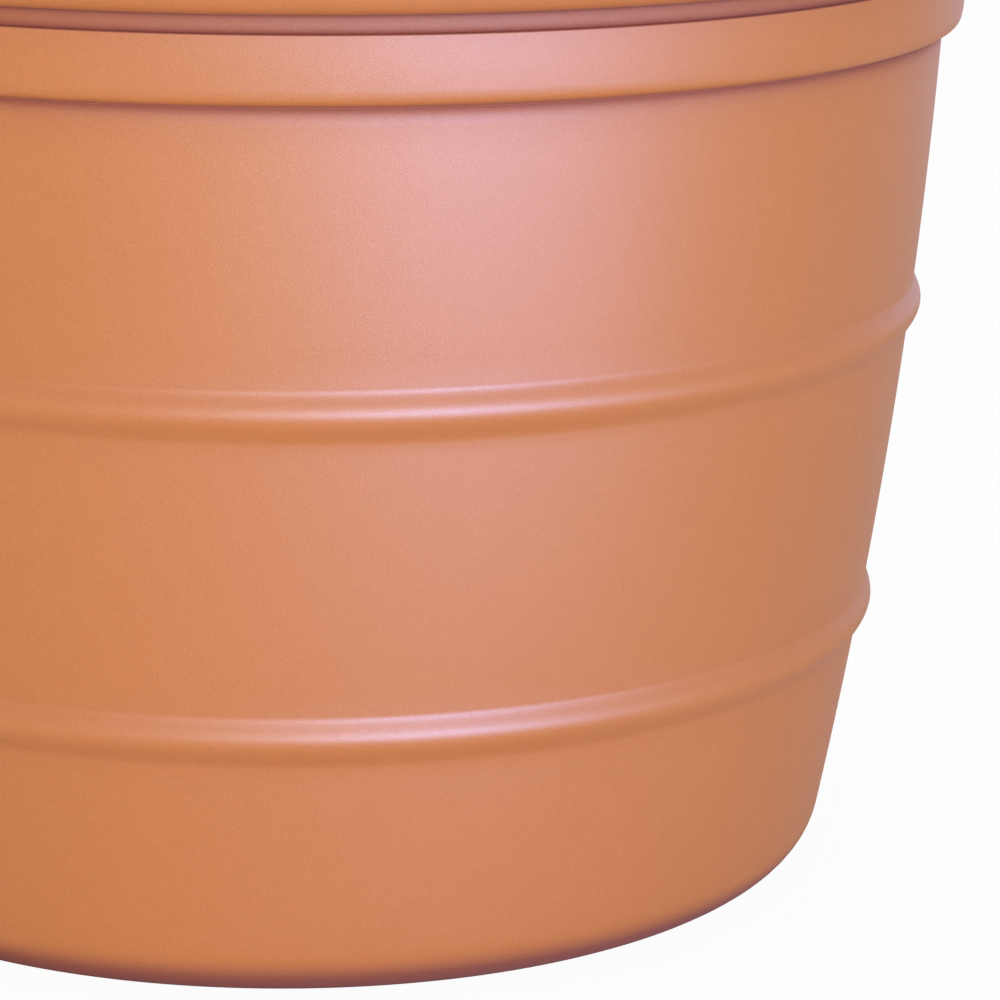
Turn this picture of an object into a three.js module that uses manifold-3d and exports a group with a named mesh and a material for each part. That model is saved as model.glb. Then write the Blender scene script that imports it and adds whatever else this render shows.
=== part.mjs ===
// A free-standing rain barrel of moulded, terracotta-coloured plastic.
// Millimetres, +Z up. The origin is on the floor, on the barrel's axis. The tap faces -Y, the
// overflow is at the back (+Y) and the port that links a second barrel is on the left (-X).
import * as THREE from "three";
import { mergeVertices } from "three/addons/utils/BufferGeometryUtils.js";
import Module from "manifold-3d";

const wasm = await Module();
wasm.setup();

// ---- Driving dimensions ---------------------------------------------------------------------

const GAP = 0.3; // between two pieces that touch
const ROUND = 40; // facets round the barrel and its lid
const SMALL_ROUND = 20; // facets round a fitting

// Side wall: each half bows from a small end to the belt.
const WALL = 5;
const BODY_H = 396; // floor to belt
const BELT_R = 300; // wall radius where it meets the belt
const END_R = 249; // wall radius where its line meets the floor
const BOW_R = 2750; // radius of the wall's bow, seen from the side
const CORNER_R = 31; // rounding between wall and floor
const UPPER_H = 340; // belt to mouth

// Hoop ribs, by the height of their middle above the small end.
const RIB_HEIGHTS = [125, 268];
const RIB_H = 23;
const RIB_OUT = 4.5;

// Belt: a band and a bead below a thick roll, and the same above it.
const BAND_H = 30.2;
const BAND_OUT = 10;
const BAND_ROUND = 15;
const BEAD_H = 6.5;
const BEAD_OUT = 15;
const CREASE_OUT = 11; // at the bottom of the creases on both sides of the bead
const ROLL_H = 52.4;
const ROLL_OUT = 25;
const ROLL_FULLNESS = 3.5; // 2 is an ellipse, more is boxier

// Underside: a foot ring and a middle pad, with a shallow ring-shaped recess between them.
const PAD_R = 60;
const FOOT_WIDTH = 38;
const RECESS = 6;
const RECESS_SLOPE = 6;

// Mouth of the barrel.
const LIP_WIDTH = 30.5; // of the lip's flat top
const LIP_OUT = 3; // how far the lip stands out from the wall at the skirt's end
const LIP_H = 20;
const LIP_T = 7;
const LIP_ROUND = 3;

// Lid.
const LID_T = 4.5;
const LID_PLAY = 1.5; // between lip and skirt
const SKIRT_DROP = 24; // how far the skirt reaches down over the lip
const CROWN_H = 18;
const CROWN_W = 26;
const SEAT_WIDTH = 12; // of the lid's ring that rests on the lip
const DISH_FALL = 12; // from the dish's edge to its middle
const DISH_EDGE_H = 6; // top of the dish's edge above the lip
const INLET_R = 84; // hole that the strainer hangs in
const STRAINER_LEDGE = 13; // width of the ledge round that hole
const STRAINER_SINK = 6; // depth of that ledge below the dish

// Strainer basket.
const STRAINER_PLAY = 1.5;
const STRAINER_H = 70;
const STRAINER_T = 2.5;
const STRAINER_FLANGE_T = 3;
const STRAINER_BARS = 8;
const BAR_W = 8;
const HOOP_H = 7; // of the basket's top and bottom hoops
const GRIP_W = 12;
const MESH_T = 0.8;

// Moulded bosses that the fittings pass through.
const BOSS_R = 40;
const BOSS_PROUD = 2; // beyond the furthest rib or wall in its span
const PLATE_T = 6;
const POCKET_WALL = 6;
const LOW_PORT_H = 105; // tap and link port, above the floor
const OVERFLOW_DROP = 116.8; // overflow, below the mouth

// Gaskets and lock nuts.
const GASKET_T = 3;
const GASKET_RIM = 9; // width of a gasket's ring
const HOLE_PLAY = 0.6;
const NUT_T = 9;
const NUT_RIM = 7;
const THREAD_PAST_NUT = 5;

// Tap, a quarter-turn ball valve with a hose thread.
const TAIL_R = 13.2;
const WATERWAY_R = 8.5;
const FLANGE_T = 6;
const FLANGE_RIM = 8;
const VALVE_WALL = 4;
const BALL_R = 12.5;
const BALL_PLAY = 1.5; // between the ball and its chamber
const SEAT_BACK = 3; // from the hollow's rim to the seat's back
const SEAT_PLAY = 1; // between a seat and the stem
const INSERT_PLAY = 0.8; // round the tailpiece's end in the chamber
const TAIL_INSERT = 12; // length of the tailpiece inside the valve body
const BEND_REACH = 23; // ball's middle to the spout's axis
const SPOUT_R = 13.2;
const SPOUT_DROP = 46;
const SPOUT_COLLAR_R = 17;
const SPOUT_COLLAR_H = 6;
const HOSE_THREAD_H = 14;
const STEM_R = 4.2;
const STEM_TOP_R = 3;
const TANG_W = 3;
const TANG_L = 8;
const TANG_H = 3;
const BONNET_R = 10.5;
const BONNET_H = 29; // above the ball's centre
const PACKING_R = 7;
const PACKING_H = 4;
const PACKING_DEPTH = 9;
const GLAND_R = 9.5;
const GLAND_HEAD_H = 5;
const LEVER_L = 68;
const LEVER_W = 18;
const LEVER_T = 3;
const LEVER_HUB_R = 11;
const LEVER_NUT_R = 6;
const LEVER_NUT_H = 4.5;

// Overflow: a hose barb.
const OVERFLOW_R = 17;
const OVERFLOW_BORE_R = 13.5;
const BARB_L = 46;
const BARB_OUT = 1.6;
const BARB_STEPS = 4;

// Link port: a threaded nipple, closed with a cap.
const LINK_BORE_R = 9.5;
const NIPPLE_L = 16;
const CAP_PLAY = 0.5;
const CAP_WALL = 3.5;
const CAP_END_T = 4;
const CAP_GRIPS = 12;
const CAP_GRIP_R = 2;

const TERRACOTTA = 0xcf7f55;
const BLACK_PLASTIC = 0x1b1b1c;
const BRASS = 0xc39a4b;
const STEEL = 0xb9bcc0;

// ---- Worked-out sizes -----------------------------------------------------------------------

const BELT_H = 2 * (BAND_H + BEAD_H) + ROLL_H;
const BELT_TOP = BODY_H + BELT_H;
const MOUTH_Z = BELT_TOP + UPPER_H;
const OVERFLOW_Z = MOUTH_Z - OVERFLOW_DROP;
const bow = bowCentre();
const LIP_R = wallRadius(BODY_H - UPPER_H + SKIRT_DROP) + LIP_OUT;
const MOUTH_R = LIP_R - LIP_WIDTH;
const SKIRT_R = LIP_R + LID_PLAY;
const LID_R = SKIRT_R + LID_T;
const DISH_R = MOUTH_R + LID_T;
const DISH_FLOOR_Z = MOUTH_Z + DISH_EDGE_H - DISH_FALL;
const LEDGE_R = INLET_R + STRAINER_LEDGE;
const LEDGE_Z = DISH_FLOOR_Z - STRAINER_SINK;
const BASKET_R = INLET_R - STRAINER_PLAY;
const BASKET_TOP = LEDGE_Z + GAP + STRAINER_FLANGE_T;
const BASKET_FLOOR_Z = BASKET_TOP - STRAINER_H;

// ---- Solids ---------------------------------------------------------------------------------

// A three.js geometry as a manifold-3d solid.
function solid(geometry) {
  const bare = geometry.clone();
  for (const name of Object.keys(bare.attributes)) {
    if (name !== "position") bare.deleteAttribute(name);
  }
  const merged = mergeVertices(bare, 1e-4);
  const corners = merged.index.array;
  const triangles = [];
  for (let i = 0; i < corners.length; i += 3) {
    const [a, b, c] = corners.slice(i, i + 3);
    if (a !== b && b !== c && c !== a) triangles.push(a, b, c);
  }
  return new wasm.Manifold(new wasm.Mesh({
    numProp: 3,
    vertProperties: merged.attributes.position.array,
    triVerts: new Uint32Array(triangles),
  }));
}

// A manifold-3d solid as a three.js geometry.
function geometryOf(body) {
  const mesh = body.getMesh();
  const geometry = new THREE.BufferGeometry();
  geometry.setAttribute("position", new THREE.BufferAttribute(mesh.vertProperties, 3));
  geometry.setIndex(new THREE.BufferAttribute(mesh.triVerts, 1));
  return geometry;
}

const union = (...bodies) => bodies.reduce((sum, body) => sum.add(body));
const cut = (body, ...tools) => tools.reduce((rest, tool) => rest.subtract(tool), body);

// A solid turned about Z from an outline of [radius, height] points that runs upwards outside.
function turned(outline, facets = SMALL_ROUND) {
  const points = outline.map(([r, z]) => new THREE.Vector2(r, z));
  return solid(new THREE.LatheGeometry(points, facets).rotateX(Math.PI / 2));
}

// A ring or, with no inner radius, a disc, from one height to another.
function ring(outer, inner, from, to, facets = SMALL_ROUND) {
  const outline = [[inner, from], [outer, from], [outer, to], [inner, to]];
  return turned(inner > 0 ? [...outline, outline[0]] : outline, facets);
}

// The same ring lying along +X.
function ringX(outer, inner, from, to, facets = SMALL_ROUND) {
  return alongX(ring(outer, inner, from, to, facets));
}

const alongX = (body) => body.rotate([0, 90, 0]);
const ball = (radius) => solid(new THREE.SphereGeometry(radius, SMALL_ROUND, SMALL_ROUND / 2));
const block = (x, y, z) => solid(new THREE.BoxGeometry(x, y, z));

// [radius, height] points of an arc or an ellipse's quarter, angles in degrees.
function arc(r, z, across, up, from, to, steps) {
  return Array.from({ length: steps + 1 }, (_, i) => {
    const angle = THREE.MathUtils.degToRad(from + ((to - from) * i) / steps);
    return [r + across * Math.cos(angle), z + up * Math.sin(angle)];
  });
}

// ---- Barrel ---------------------------------------------------------------------------------

// Centre of the circle that the side wall follows.
function bowCentre() {
  const rise = BELT_R - END_R;
  const chord = Math.hypot(BODY_H, rise);
  const back = Math.sqrt(BOW_R ** 2 - (chord / 2) ** 2);
  return {
    r: (END_R + BELT_R) / 2 - (back * BODY_H) / chord,
    z: BODY_H / 2 + (back * rise) / chord,
  };
}

// Radius of the wall's outside at a height above its small end, ribs left out.
function wallRadius(height) {
  return bow.r + Math.sqrt(BOW_R ** 2 - (height - bow.z) ** 2);
}

// How far a rib stands out at a distance above or below its middle.
function ribBump(distance) {
  const radius = (RIB_H ** 2 / 4 + RIB_OUT ** 2) / (2 * RIB_OUT);
  return Math.sqrt(radius ** 2 - distance ** 2) - (radius - RIB_OUT);
}

// The wall's outside between two heights above the small end, going up, with each rib that has
// room between the belt and the height clearFrom.
function ribbedWall(from, to, clearFrom = from) {
  const points = [[wallRadius(from), from]];
  const hasRoom = (h) => h - RIB_H / 2 > clearFrom && h + RIB_H / 2 < to;
  for (const middle of RIB_HEIGHTS.filter(hasRoom)) {
    for (const share of [-1, -0.55, 0, 0.55, 1]) {
      const distance = (share * RIB_H) / 2;
      points.push([wallRadius(middle + distance) + ribBump(distance), middle + distance]);
    }
    const above = middle + RIB_H * 1.8;
    if (above < to) points.push([wallRadius(above), above]);
  }
  return [...points, [wallRadius(to), to]];
}

// The lower half of the roll's section, from its foot to its middle.
function rollSection(foot, out, up, steps) {
  const power = 2 / ROLL_FULLNESS;
  return Array.from({ length: steps + 1 }, (_, i) => {
    const angle = (Math.PI / 2) * (i / steps);
    const r = foot + out * Math.sin(angle) ** power;
    return [r, BODY_H + BELT_H / 2 - up * Math.cos(angle) ** power];
  });
}

// The belt's lower half, from the wall to the middle of the roll.
function lowerBelt() {
  const bead = BODY_H + BAND_H;
  const crease = BELT_R + CREASE_OUT;
  return [
    ...arc(BELT_R, BODY_H + BAND_ROUND, BAND_OUT, BAND_ROUND, -90, 0, 3).slice(1),
    [BELT_R + BAND_OUT, bead - BEAD_H / 2],
    [crease, bead],
    [BELT_R + BEAD_OUT, bead + BEAD_H * 0.3],
    [BELT_R + BEAD_OUT, bead + BEAD_H * 0.7],
    ...rollSection(crease, ROLL_OUT - CREASE_OUT, ROLL_H / 2, 4),
  ];
}

const aboveBelt = ([r, z]) => [r, BODY_H + BELT_TOP - z];

// Tangent point and centre of the rounding between wall and floor, at a distance inside them.
function corner(inset) {
  const reach = BOW_R - CORNER_R;
  const r = bow.r + Math.sqrt(reach ** 2 - (CORNER_R - bow.z) ** 2);
  const tilt = THREE.MathUtils.radToDeg(Math.atan2(CORNER_R - bow.z, r - bow.r));
  return arc(r, CORNER_R, CORNER_R - inset, CORNER_R - inset, -90, tilt, 4);
}

function barrelOutside() {
  const foot = corner(0);
  const footInner = foot[0][0] - FOOT_WIDTH;
  const lower = ribbedWall(foot.at(-1)[1], BODY_H).slice(1);
  const belt = lowerBelt();
  const neck = BODY_H - UPPER_H;
  const upper = ribbedWall(neck + LIP_H, BODY_H, neck + SKIRT_DROP).map(aboveBelt).reverse();
  return turned([
    [0, 0],
    [PAD_R, 0],
    [PAD_R + RECESS_SLOPE, RECESS],
    [footInner - RECESS_SLOPE, RECESS],
    [footInner, 0],
    ...foot,
    ...lower,
    ...belt,
    ...belt.slice(0, -1).map(aboveBelt).reverse(),
    ...upper,
    [LIP_R, MOUTH_Z - LIP_H + LIP_ROUND],
    [LIP_R, MOUTH_Z - LIP_ROUND],
    [LIP_R - LIP_ROUND, MOUTH_Z],
    [0, MOUTH_Z],
  ], ROUND);
}

function barrelInside() {
  const floor = RECESS + WALL;
  const behindBand = BELT_R + BAND_OUT - WALL;
  const rounding = corner(WALL).filter(([, z]) => z > floor);
  const inner = (h) => [wallRadius(h) - WALL, h];
  const neck = BODY_H - UPPER_H + LIP_T;
  const upper = [neck, ...RIB_HEIGHTS, BODY_H].filter((h) => h >= neck).map(inner);
  const belt = [
    [behindBand, BODY_H + BAND_ROUND],
    ...rollSection(behindBand, ROLL_OUT - BAND_OUT, ROLL_H / 2 - WALL, 3),
  ];
  return turned([
    [0, floor],
    [rounding[0][0] - WALL, floor],
    ...rounding,
    ...[...RIB_HEIGHTS, BODY_H].map(inner),
    ...belt,
    ...belt.slice(0, -1).map(aboveBelt).reverse(),
    ...upper.map(aboveBelt).reverse(),
    [MOUTH_R, MOUTH_Z - LIP_T],
    [MOUTH_R, MOUTH_Z + LIP_T],
    [0, MOUTH_Z + LIP_T],
  ], ROUND);
}

// How far out the flat face of a boss is, from the height of its middle above the small end.
function bossFace(height) {
  return wallRadius(height + BOSS_R) + RIB_OUT + BOSS_PROUD;
}

// The three fittings: the way they face, their height, their boss and the hole through it.
const ports = {
  tap: { turn: -90, z: LOW_PORT_H, face: bossFace(LOW_PORT_H), bore: TAIL_R },
  link: { turn: 180, z: LOW_PORT_H, face: bossFace(LOW_PORT_H), bore: TAIL_R },
  overflow: {
    turn: 90,
    z: OVERFLOW_Z,
    face: bossFace(BODY_H + BELT_TOP - OVERFLOW_Z),
    bore: OVERFLOW_R,
  },
};

function barrel() {
  const atPort = (body, { turn, z }) => body.rotate([0, 0, turn]).translate([0, 0, z]);
  const root = END_R / 2;
  let outside = barrelOutside();
  let inside = barrelInside();
  for (const port of Object.values(ports)) {
    const pocket = ringX(BOSS_R - POCKET_WALL, 0, root, port.face - PLATE_T);
    const hole = ringX(port.bore + HOLE_PLAY, 0, root, port.face + PLATE_T);
    outside = outside.add(atPort(ringX(BOSS_R, 0, root, port.face), port));
    inside = union(inside, atPort(pocket, port), atPort(hole, port));
  }
  return outside.subtract(inside);
}

// ---- Lid and strainer -----------------------------------------------------------------------

function lid() {
  const rest = MOUTH_Z + GAP;
  const crown = MOUTH_Z + CROWN_H;
  const crownR = LID_R - CROWN_W / 2;
  const skirtEnd = MOUTH_Z - SKIRT_DROP;
  return turned([
    [LEDGE_R + LID_T, LEDGE_Z - LID_T],
    [LEDGE_R + LID_T, DISH_FLOOR_Z - LID_T],
    [MOUTH_R - LID_PLAY, rest],
    [MOUTH_R + SEAT_WIDTH, rest],
    [MOUTH_R + SEAT_WIDTH + 2, crown - LID_T],
    [SKIRT_R - LID_T, crown - LID_T],
    [SKIRT_R, crown - 2 * LID_T],
    [SKIRT_R, skirtEnd],
    [LID_R - 1, skirtEnd],
    [LID_R, skirtEnd + 1],
    ...arc(crownR, crown - CROWN_W / 3, CROWN_W / 2, CROWN_W / 3, 0, 180, 8),
    [DISH_R, MOUTH_Z + DISH_EDGE_H],
    [LEDGE_R, DISH_FLOOR_Z],
    [LEDGE_R, LEDGE_Z],
    [INLET_R, LEDGE_Z],
    [INLET_R, LEDGE_Z - LID_T],
    [LEDGE_R + LID_T, LEDGE_Z - LID_T],
  ], ROUND);
}

function strainerFrame() {
  const flangeR = LEDGE_R - STRAINER_PLAY;
  const inner = BASKET_R - STRAINER_T;
  const shell = turned([
    [0, BASKET_FLOOR_Z],
    [BASKET_R, BASKET_FLOOR_Z],
    [BASKET_R, LEDGE_Z + GAP],
    [flangeR, LEDGE_Z + GAP],
    [flangeR, BASKET_TOP],
    [inner, BASKET_TOP],
    [inner, BASKET_FLOOR_Z + STRAINER_T],
    [0, BASKET_FLOOR_Z + STRAINER_T],
  ], 32);
  const windowFrom = BASKET_FLOOR_Z + HOOP_H;
  const windowTo = LEDGE_Z - HOOP_H;
  const windowW = (2 * Math.PI * BASKET_R) / STRAINER_BARS - BAR_W;
  const floorHoleR = inner * 0.24;
  const windows = [];
  for (let i = 0; i < STRAINER_BARS; i += 1) {
    const turn = (360 * (i + 0.5)) / STRAINER_BARS;
    const window = block(20, windowW, windowTo - windowFrom);
    windows.push(window.translate([BASKET_R, 0, (windowFrom + windowTo) / 2]).rotate([0, 0, turn]));
    const hole = ring(floorHoleR, 0, BASKET_FLOOR_Z - 1, BASKET_FLOOR_Z + STRAINER_T + 1, 12);
    windows.push(hole.translate([inner * 0.7, 0, 0]).rotate([0, 0, turn]));
  }
  const middle = ring(floorHoleR, 0, BASKET_FLOOR_Z - 1, BASKET_FLOOR_Z + STRAINER_T + 1, 12);
  const grip = block(2 * inner + STRAINER_T, GRIP_W, STRAINER_FLANGE_T);
  return cut(shell, ...windows, middle)
    .add(grip.translate([0, 0, BASKET_TOP - STRAINER_FLANGE_T / 2]));
}

function strainerMesh() {
  const outer = BASKET_R - STRAINER_T - GAP;
  const floor = BASKET_FLOOR_Z + STRAINER_T + GAP;
  const top = BASKET_TOP - STRAINER_FLANGE_T - GAP;
  return turned([
    [0, floor],
    [outer, floor],
    [outer, top],
    [outer - MESH_T, top],
    [outer - MESH_T, floor + MESH_T],
    [0, floor + MESH_T],
  ], 32);
}

// ---- Fittings: built along +X, with x = 0 on the barrel's axis and z = 0 at the port ---------

function gasket({ face, bore }) {
  return ringX(bore + GASKET_RIM, bore + GAP, face + GAP, face + GAP + GASKET_T);
}

function innerGasket({ face, bore }) {
  const from = face - PLATE_T - GAP - GASKET_T;
  return ringX(bore + GASKET_RIM, bore + GAP, from, from + GASKET_T);
}

// Inner end of a lock nut that bears on the plate, or on a gasket before it.
function nutEnd(face, packed) {
  return face - PLATE_T - GAP - (packed ? GASKET_T + GAP : 0) - NUT_T;
}

function lockNut({ face, bore }, packed = false) {
  const from = nutEnd(face, packed);
  return ringX(bore + NUT_RIM, 0, from, from + NUT_T, 6)
    .subtract(ringX(bore + GAP, 0, from - 1, from + NUT_T + 1));
}

const flangeFace = (face) => face + 2 * GAP + GASKET_T;

// Places along the tap, from the barrel outwards.
const TAP = ports.tap;
const TAP_FLANGE = flangeFace(TAP.face);
const VALVE_FROM = TAP_FLANGE + FLANGE_T + GAP;
const SEAT_FROM = VALVE_FROM + TAIL_INSERT + GAP;
const CHAMBER_R = BALL_R + BALL_PLAY;
const INSERT_R = CHAMBER_R - INSERT_PLAY;
const BALL_X = SEAT_FROM + Math.sqrt(BALL_R ** 2 - WATERWAY_R ** 2) + SEAT_BACK;
const SEAT_T = BALL_X - SEAT_FROM - STEM_R - SEAT_PLAY; // before the ball's hollow is cut
const SEAT_TO = 2 * BALL_X - SEAT_FROM;
const SPOUT_X = BALL_X + BEND_REACH;
const GLAND_FROM = BONNET_H + GAP;
const LEVER_FROM = GLAND_FROM + GLAND_HEAD_H + GAP;
const LEVER_NUT_FROM = LEVER_FROM + LEVER_T + GAP;

function tapTailpiece() {
  const end = nutEnd(TAP.face, true) - THREAD_PAST_NUT;
  return union(
    ringX(TAIL_R, 0, end, TAP_FLANGE + FLANGE_T),
    ringX(TAIL_R + FLANGE_RIM, 0, TAP_FLANGE, TAP_FLANGE + FLANGE_T, 6),
    ringX(INSERT_R, 0, TAP_FLANGE, VALVE_FROM + TAIL_INSERT),
  ).subtract(ringX(WATERWAY_R, 0, end - 1, VALVE_FROM + TAIL_INSERT + 1));
}

function tapBody() {
  const outerR = CHAMBER_R + VALVE_WALL;
  const foot = -SPOUT_DROP;
  const spout = union(
    ring(SPOUT_R, 0, foot, 0),
    ring(SPOUT_COLLAR_R, 0, foot + HOSE_THREAD_H, foot + HOSE_THREAD_H + SPOUT_COLLAR_H),
    ball(SPOUT_R),
  ).translate([SPOUT_X, 0, 0]);
  const bonnet = ring(BONNET_R, 0, 0, BONNET_H).translate([BALL_X, 0, 0]);
  const outside = union(
    ringX(outerR, 0, VALVE_FROM, SEAT_TO + VALVE_WALL),
    ringX(SPOUT_R, 0, SEAT_TO, SPOUT_X),
    spout,
    bonnet,
  );
  const bend = union(ball(WATERWAY_R), ring(WATERWAY_R, 0, foot - 1, 0))
    .translate([SPOUT_X, 0, 0]);
  const packing = ring(PACKING_R + GAP, 0, BONNET_H - PACKING_DEPTH, BONNET_H + 1);
  const stem = ring(STEM_R + GAP, 0, 0, BONNET_H + 1);
  return cut(
    outside,
    ringX(CHAMBER_R, 0, VALVE_FROM - 1, SEAT_TO + GAP),
    ringX(WATERWAY_R, 0, BALL_X, SPOUT_X),
    bend,
    union(packing, stem).translate([BALL_X, 0, 0]),
  );
}

function tapBall() {
  const slotFrom = BALL_R - TANG_H;
  const slot = block(TANG_W + 2 * GAP, 3 * TANG_L, 2 * TANG_H)
    .translate([0, 0, slotFrom + TANG_H]);
  const closed = ringX(WATERWAY_R - 1, 0, -2 * BALL_R, 2 * BALL_R).rotate([0, 0, 90]);
  return cut(ball(BALL_R), slot, closed).translate([BALL_X, 0, 0]);
}

function tapSeat(from, to) {
  return ringX(CHAMBER_R - GAP, WATERWAY_R, from, to)
    .subtract(ball(BALL_R + GAP).translate([BALL_X, 0, 0]));
}

function tapStem() {
  const tang = block(TANG_W, TANG_L, TANG_H + 1);
  const top = LEVER_NUT_FROM + LEVER_NUT_H + 1.5;
  return union(
    tang.translate([0, 0, BALL_R - TANG_H + GAP + (TANG_H + 1) / 2]),
    ring(STEM_R, 0, BALL_R + GAP, LEVER_FROM - GAP, 16),
    ring(STEM_TOP_R, 0, BALL_R + GAP, top, 16),
  ).translate([BALL_X, 0, 0]);
}

function tapPacking() {
  const from = BONNET_H - PACKING_DEPTH + GAP;
  return ring(PACKING_R, STEM_R + GAP, from, from + PACKING_H).translate([BALL_X, 0, 0]);
}

function tapGlandNut() {
  const from = BONNET_H - PACKING_DEPTH + 2 * GAP + PACKING_H;
  return union(
    ring(PACKING_R, 0, from, GLAND_FROM + 1),
    ring(GLAND_R, 0, GLAND_FROM, GLAND_FROM + GLAND_HEAD_H, 6),
  ).subtract(ring(STEM_R + GAP, 0, from - 1, GLAND_FROM + GLAND_HEAD_H + 1))
    .translate([BALL_X, 0, 0]);
}

// The lever points to +Y of the fitting, across the pipe, which is closed.
function tapLever() {
  const blade = new THREE.Shape();
  blade.moveTo(-LEVER_W / 3, 0);
  blade.lineTo(LEVER_W / 3, 0);
  blade.lineTo(LEVER_W / 2, LEVER_L - LEVER_W / 2);
  blade.absarc(0, LEVER_L - LEVER_W / 2, LEVER_W / 2, 0, Math.PI, false);
  blade.closePath();
  const plate = new THREE.ExtrudeGeometry(blade, {
    depth: LEVER_T,
    bevelEnabled: false,
    curveSegments: 8,
  });
  return union(solid(plate), ring(LEVER_HUB_R, 0, 0, LEVER_T))
    .subtract(ring(STEM_TOP_R + GAP, 0, -1, LEVER_T + 1))
    .translate([BALL_X, 0, LEVER_FROM]);
}

function tapLeverNut() {
  return ring(LEVER_NUT_R, 0, LEVER_NUT_FROM, LEVER_NUT_FROM + LEVER_NUT_H, 6)
    .subtract(ring(STEM_TOP_R + GAP, 0, LEVER_NUT_FROM - 1, LEVER_NUT_FROM + LEVER_NUT_H + 1))
    .translate([BALL_X, 0, 0]);
}

// Overflow spout: flange, thread for the lock nut and a stepped barb for a hose.
function overflowBarb() {
  const { face } = ports.overflow;
  const end = nutEnd(face, false) - THREAD_PAST_NUT;
  const flange = flangeFace(face);
  const barbFrom = flange + FLANGE_T;
  const step = BARB_L / BARB_STEPS;
  const barbs = [];
  for (let i = 0; i < BARB_STEPS; i += 1) {
    const from = barbFrom + i * step;
    barbs.push([OVERFLOW_R + BARB_OUT, from], [OVERFLOW_R, from + step]);
  }
  return alongX(turned([
    [OVERFLOW_BORE_R, end],
    [OVERFLOW_R, end],
    [OVERFLOW_R, flange],
    [OVERFLOW_R + GASKET_RIM + 1, flange],
    [OVERFLOW_R + GASKET_RIM + 1, barbFrom],
    ...barbs,
    [OVERFLOW_BORE_R, barbFrom + BARB_L],
    [OVERFLOW_BORE_R, end],
  ]));
}

// Link nipple: like the overflow, but with a hose thread.
const LINK = ports.link;
const NIPPLE_FROM = flangeFace(LINK.face) + FLANGE_T;
const NIPPLE_END = NIPPLE_FROM + NIPPLE_L;

function linkNipple() {
  const end = nutEnd(LINK.face, false) - THREAD_PAST_NUT;
  const flange = flangeFace(LINK.face);
  return union(
    ringX(TAIL_R, 0, end, NIPPLE_END),
    ringX(TAIL_R + FLANGE_RIM, 0, flange, flange + FLANGE_T, 6),
  ).subtract(ringX(LINK_BORE_R, 0, end - 1, NIPPLE_END + 1));
}

function linkCapWasher() {
  return ringX(TAIL_R, LINK_BORE_R, NIPPLE_END + GAP, NIPPLE_END + GAP + GASKET_T);
}

function linkCap() {
  const inner = TAIL_R + CAP_PLAY;
  const outer = inner + CAP_WALL;
  const floor = NIPPLE_END + 2 * GAP + GASKET_T;
  const from = NIPPLE_FROM + 2;
  let cap = ringX(outer, 0, from, floor + CAP_END_T, 2 * CAP_GRIPS);
  for (let i = 0; i < CAP_GRIPS; i += 1) {
    const grip = ringX(CAP_GRIP_R, 0, from, floor + CAP_END_T, 8);
    cap = cap.add(grip.translate([0, outer, 0]).rotate([(360 * i) / CAP_GRIPS, 0, 0]));
  }
  return cap.subtract(ringX(inner, 0, from - 1, floor));
}

// ---- Assembly -------------------------------------------------------------------------------

const plastic = new THREE.MeshStandardMaterial({ color: TERRACOTTA, roughness: 0.55 });
const black = new THREE.MeshStandardMaterial({ color: BLACK_PLASTIC, roughness: 0.6 });
const rubber = new THREE.MeshStandardMaterial({ color: 0x2a2a2a, roughness: 0.9 });
const brass = new THREE.MeshStandardMaterial({ color: BRASS, roughness: 0.3, metalness: 1 });
const steel = new THREE.MeshStandardMaterial({ color: STEEL, roughness: 0.35, metalness: 1 });
const ptfe = new THREE.MeshStandardMaterial({ color: 0xf0efe9, roughness: 0.5 });

function add(group, name, body, material) {
  const mesh = new THREE.Mesh(geometryOf(body), material);
  mesh.name = name;
  group.add(mesh);
}

function fitting(root, { turn, z }) {
  const group = new THREE.Group();
  group.rotation.z = THREE.MathUtils.degToRad(turn);
  group.position.z = z;
  root.add(group);
  return group;
}

const rainBarrel = new THREE.Group();
add(rainBarrel, "barrel_body", barrel(), plastic);
add(rainBarrel, "lid", lid(), plastic);
add(rainBarrel, "strainer_frame", strainerFrame(), black);
add(rainBarrel, "strainer_mesh", strainerMesh(), steel);

const tap = fitting(rainBarrel, ports.tap);
add(tap, "tap_outer_gasket", gasket(ports.tap), rubber);
add(tap, "tap_inner_gasket", innerGasket(ports.tap), rubber);
add(tap, "tap_lock_nut", lockNut(ports.tap, true), brass);
add(tap, "tap_tailpiece", tapTailpiece(), brass);
add(tap, "tap_valve_body", tapBody(), brass);
add(tap, "tap_ball", tapBall(), steel);
add(tap, "tap_inlet_seat", tapSeat(SEAT_FROM, SEAT_FROM + SEAT_T), ptfe);
add(tap, "tap_outlet_seat", tapSeat(SEAT_TO - SEAT_T, SEAT_TO), ptfe);
add(tap, "tap_stem", tapStem(), brass);
add(tap, "tap_stem_packing", tapPacking(), ptfe);
add(tap, "tap_gland_nut", tapGlandNut(), brass);
add(tap, "tap_lever", tapLever(), steel);
add(tap, "tap_lever_nut", tapLeverNut(), steel);

const link = fitting(rainBarrel, ports.link);
add(link, "link_gasket", gasket(ports.link), rubber);
add(link, "link_lock_nut", lockNut(ports.link), black);
add(link, "link_nipple", linkNipple(), black);
add(link, "link_cap_washer", linkCapWasher(), rubber);
add(link, "link_cap", linkCap(), black);

const overflow = fitting(rainBarrel, ports.overflow);
add(overflow, "overflow_gasket", gasket(ports.overflow), rubber);
add(overflow, "overflow_lock_nut", lockNut(ports.overflow), black);
add(overflow, "overflow_barb", overflowBarb(), black);

export default rainBarrel;
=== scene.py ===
import math

import bpy
from mathutils import Matrix, Vector


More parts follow.
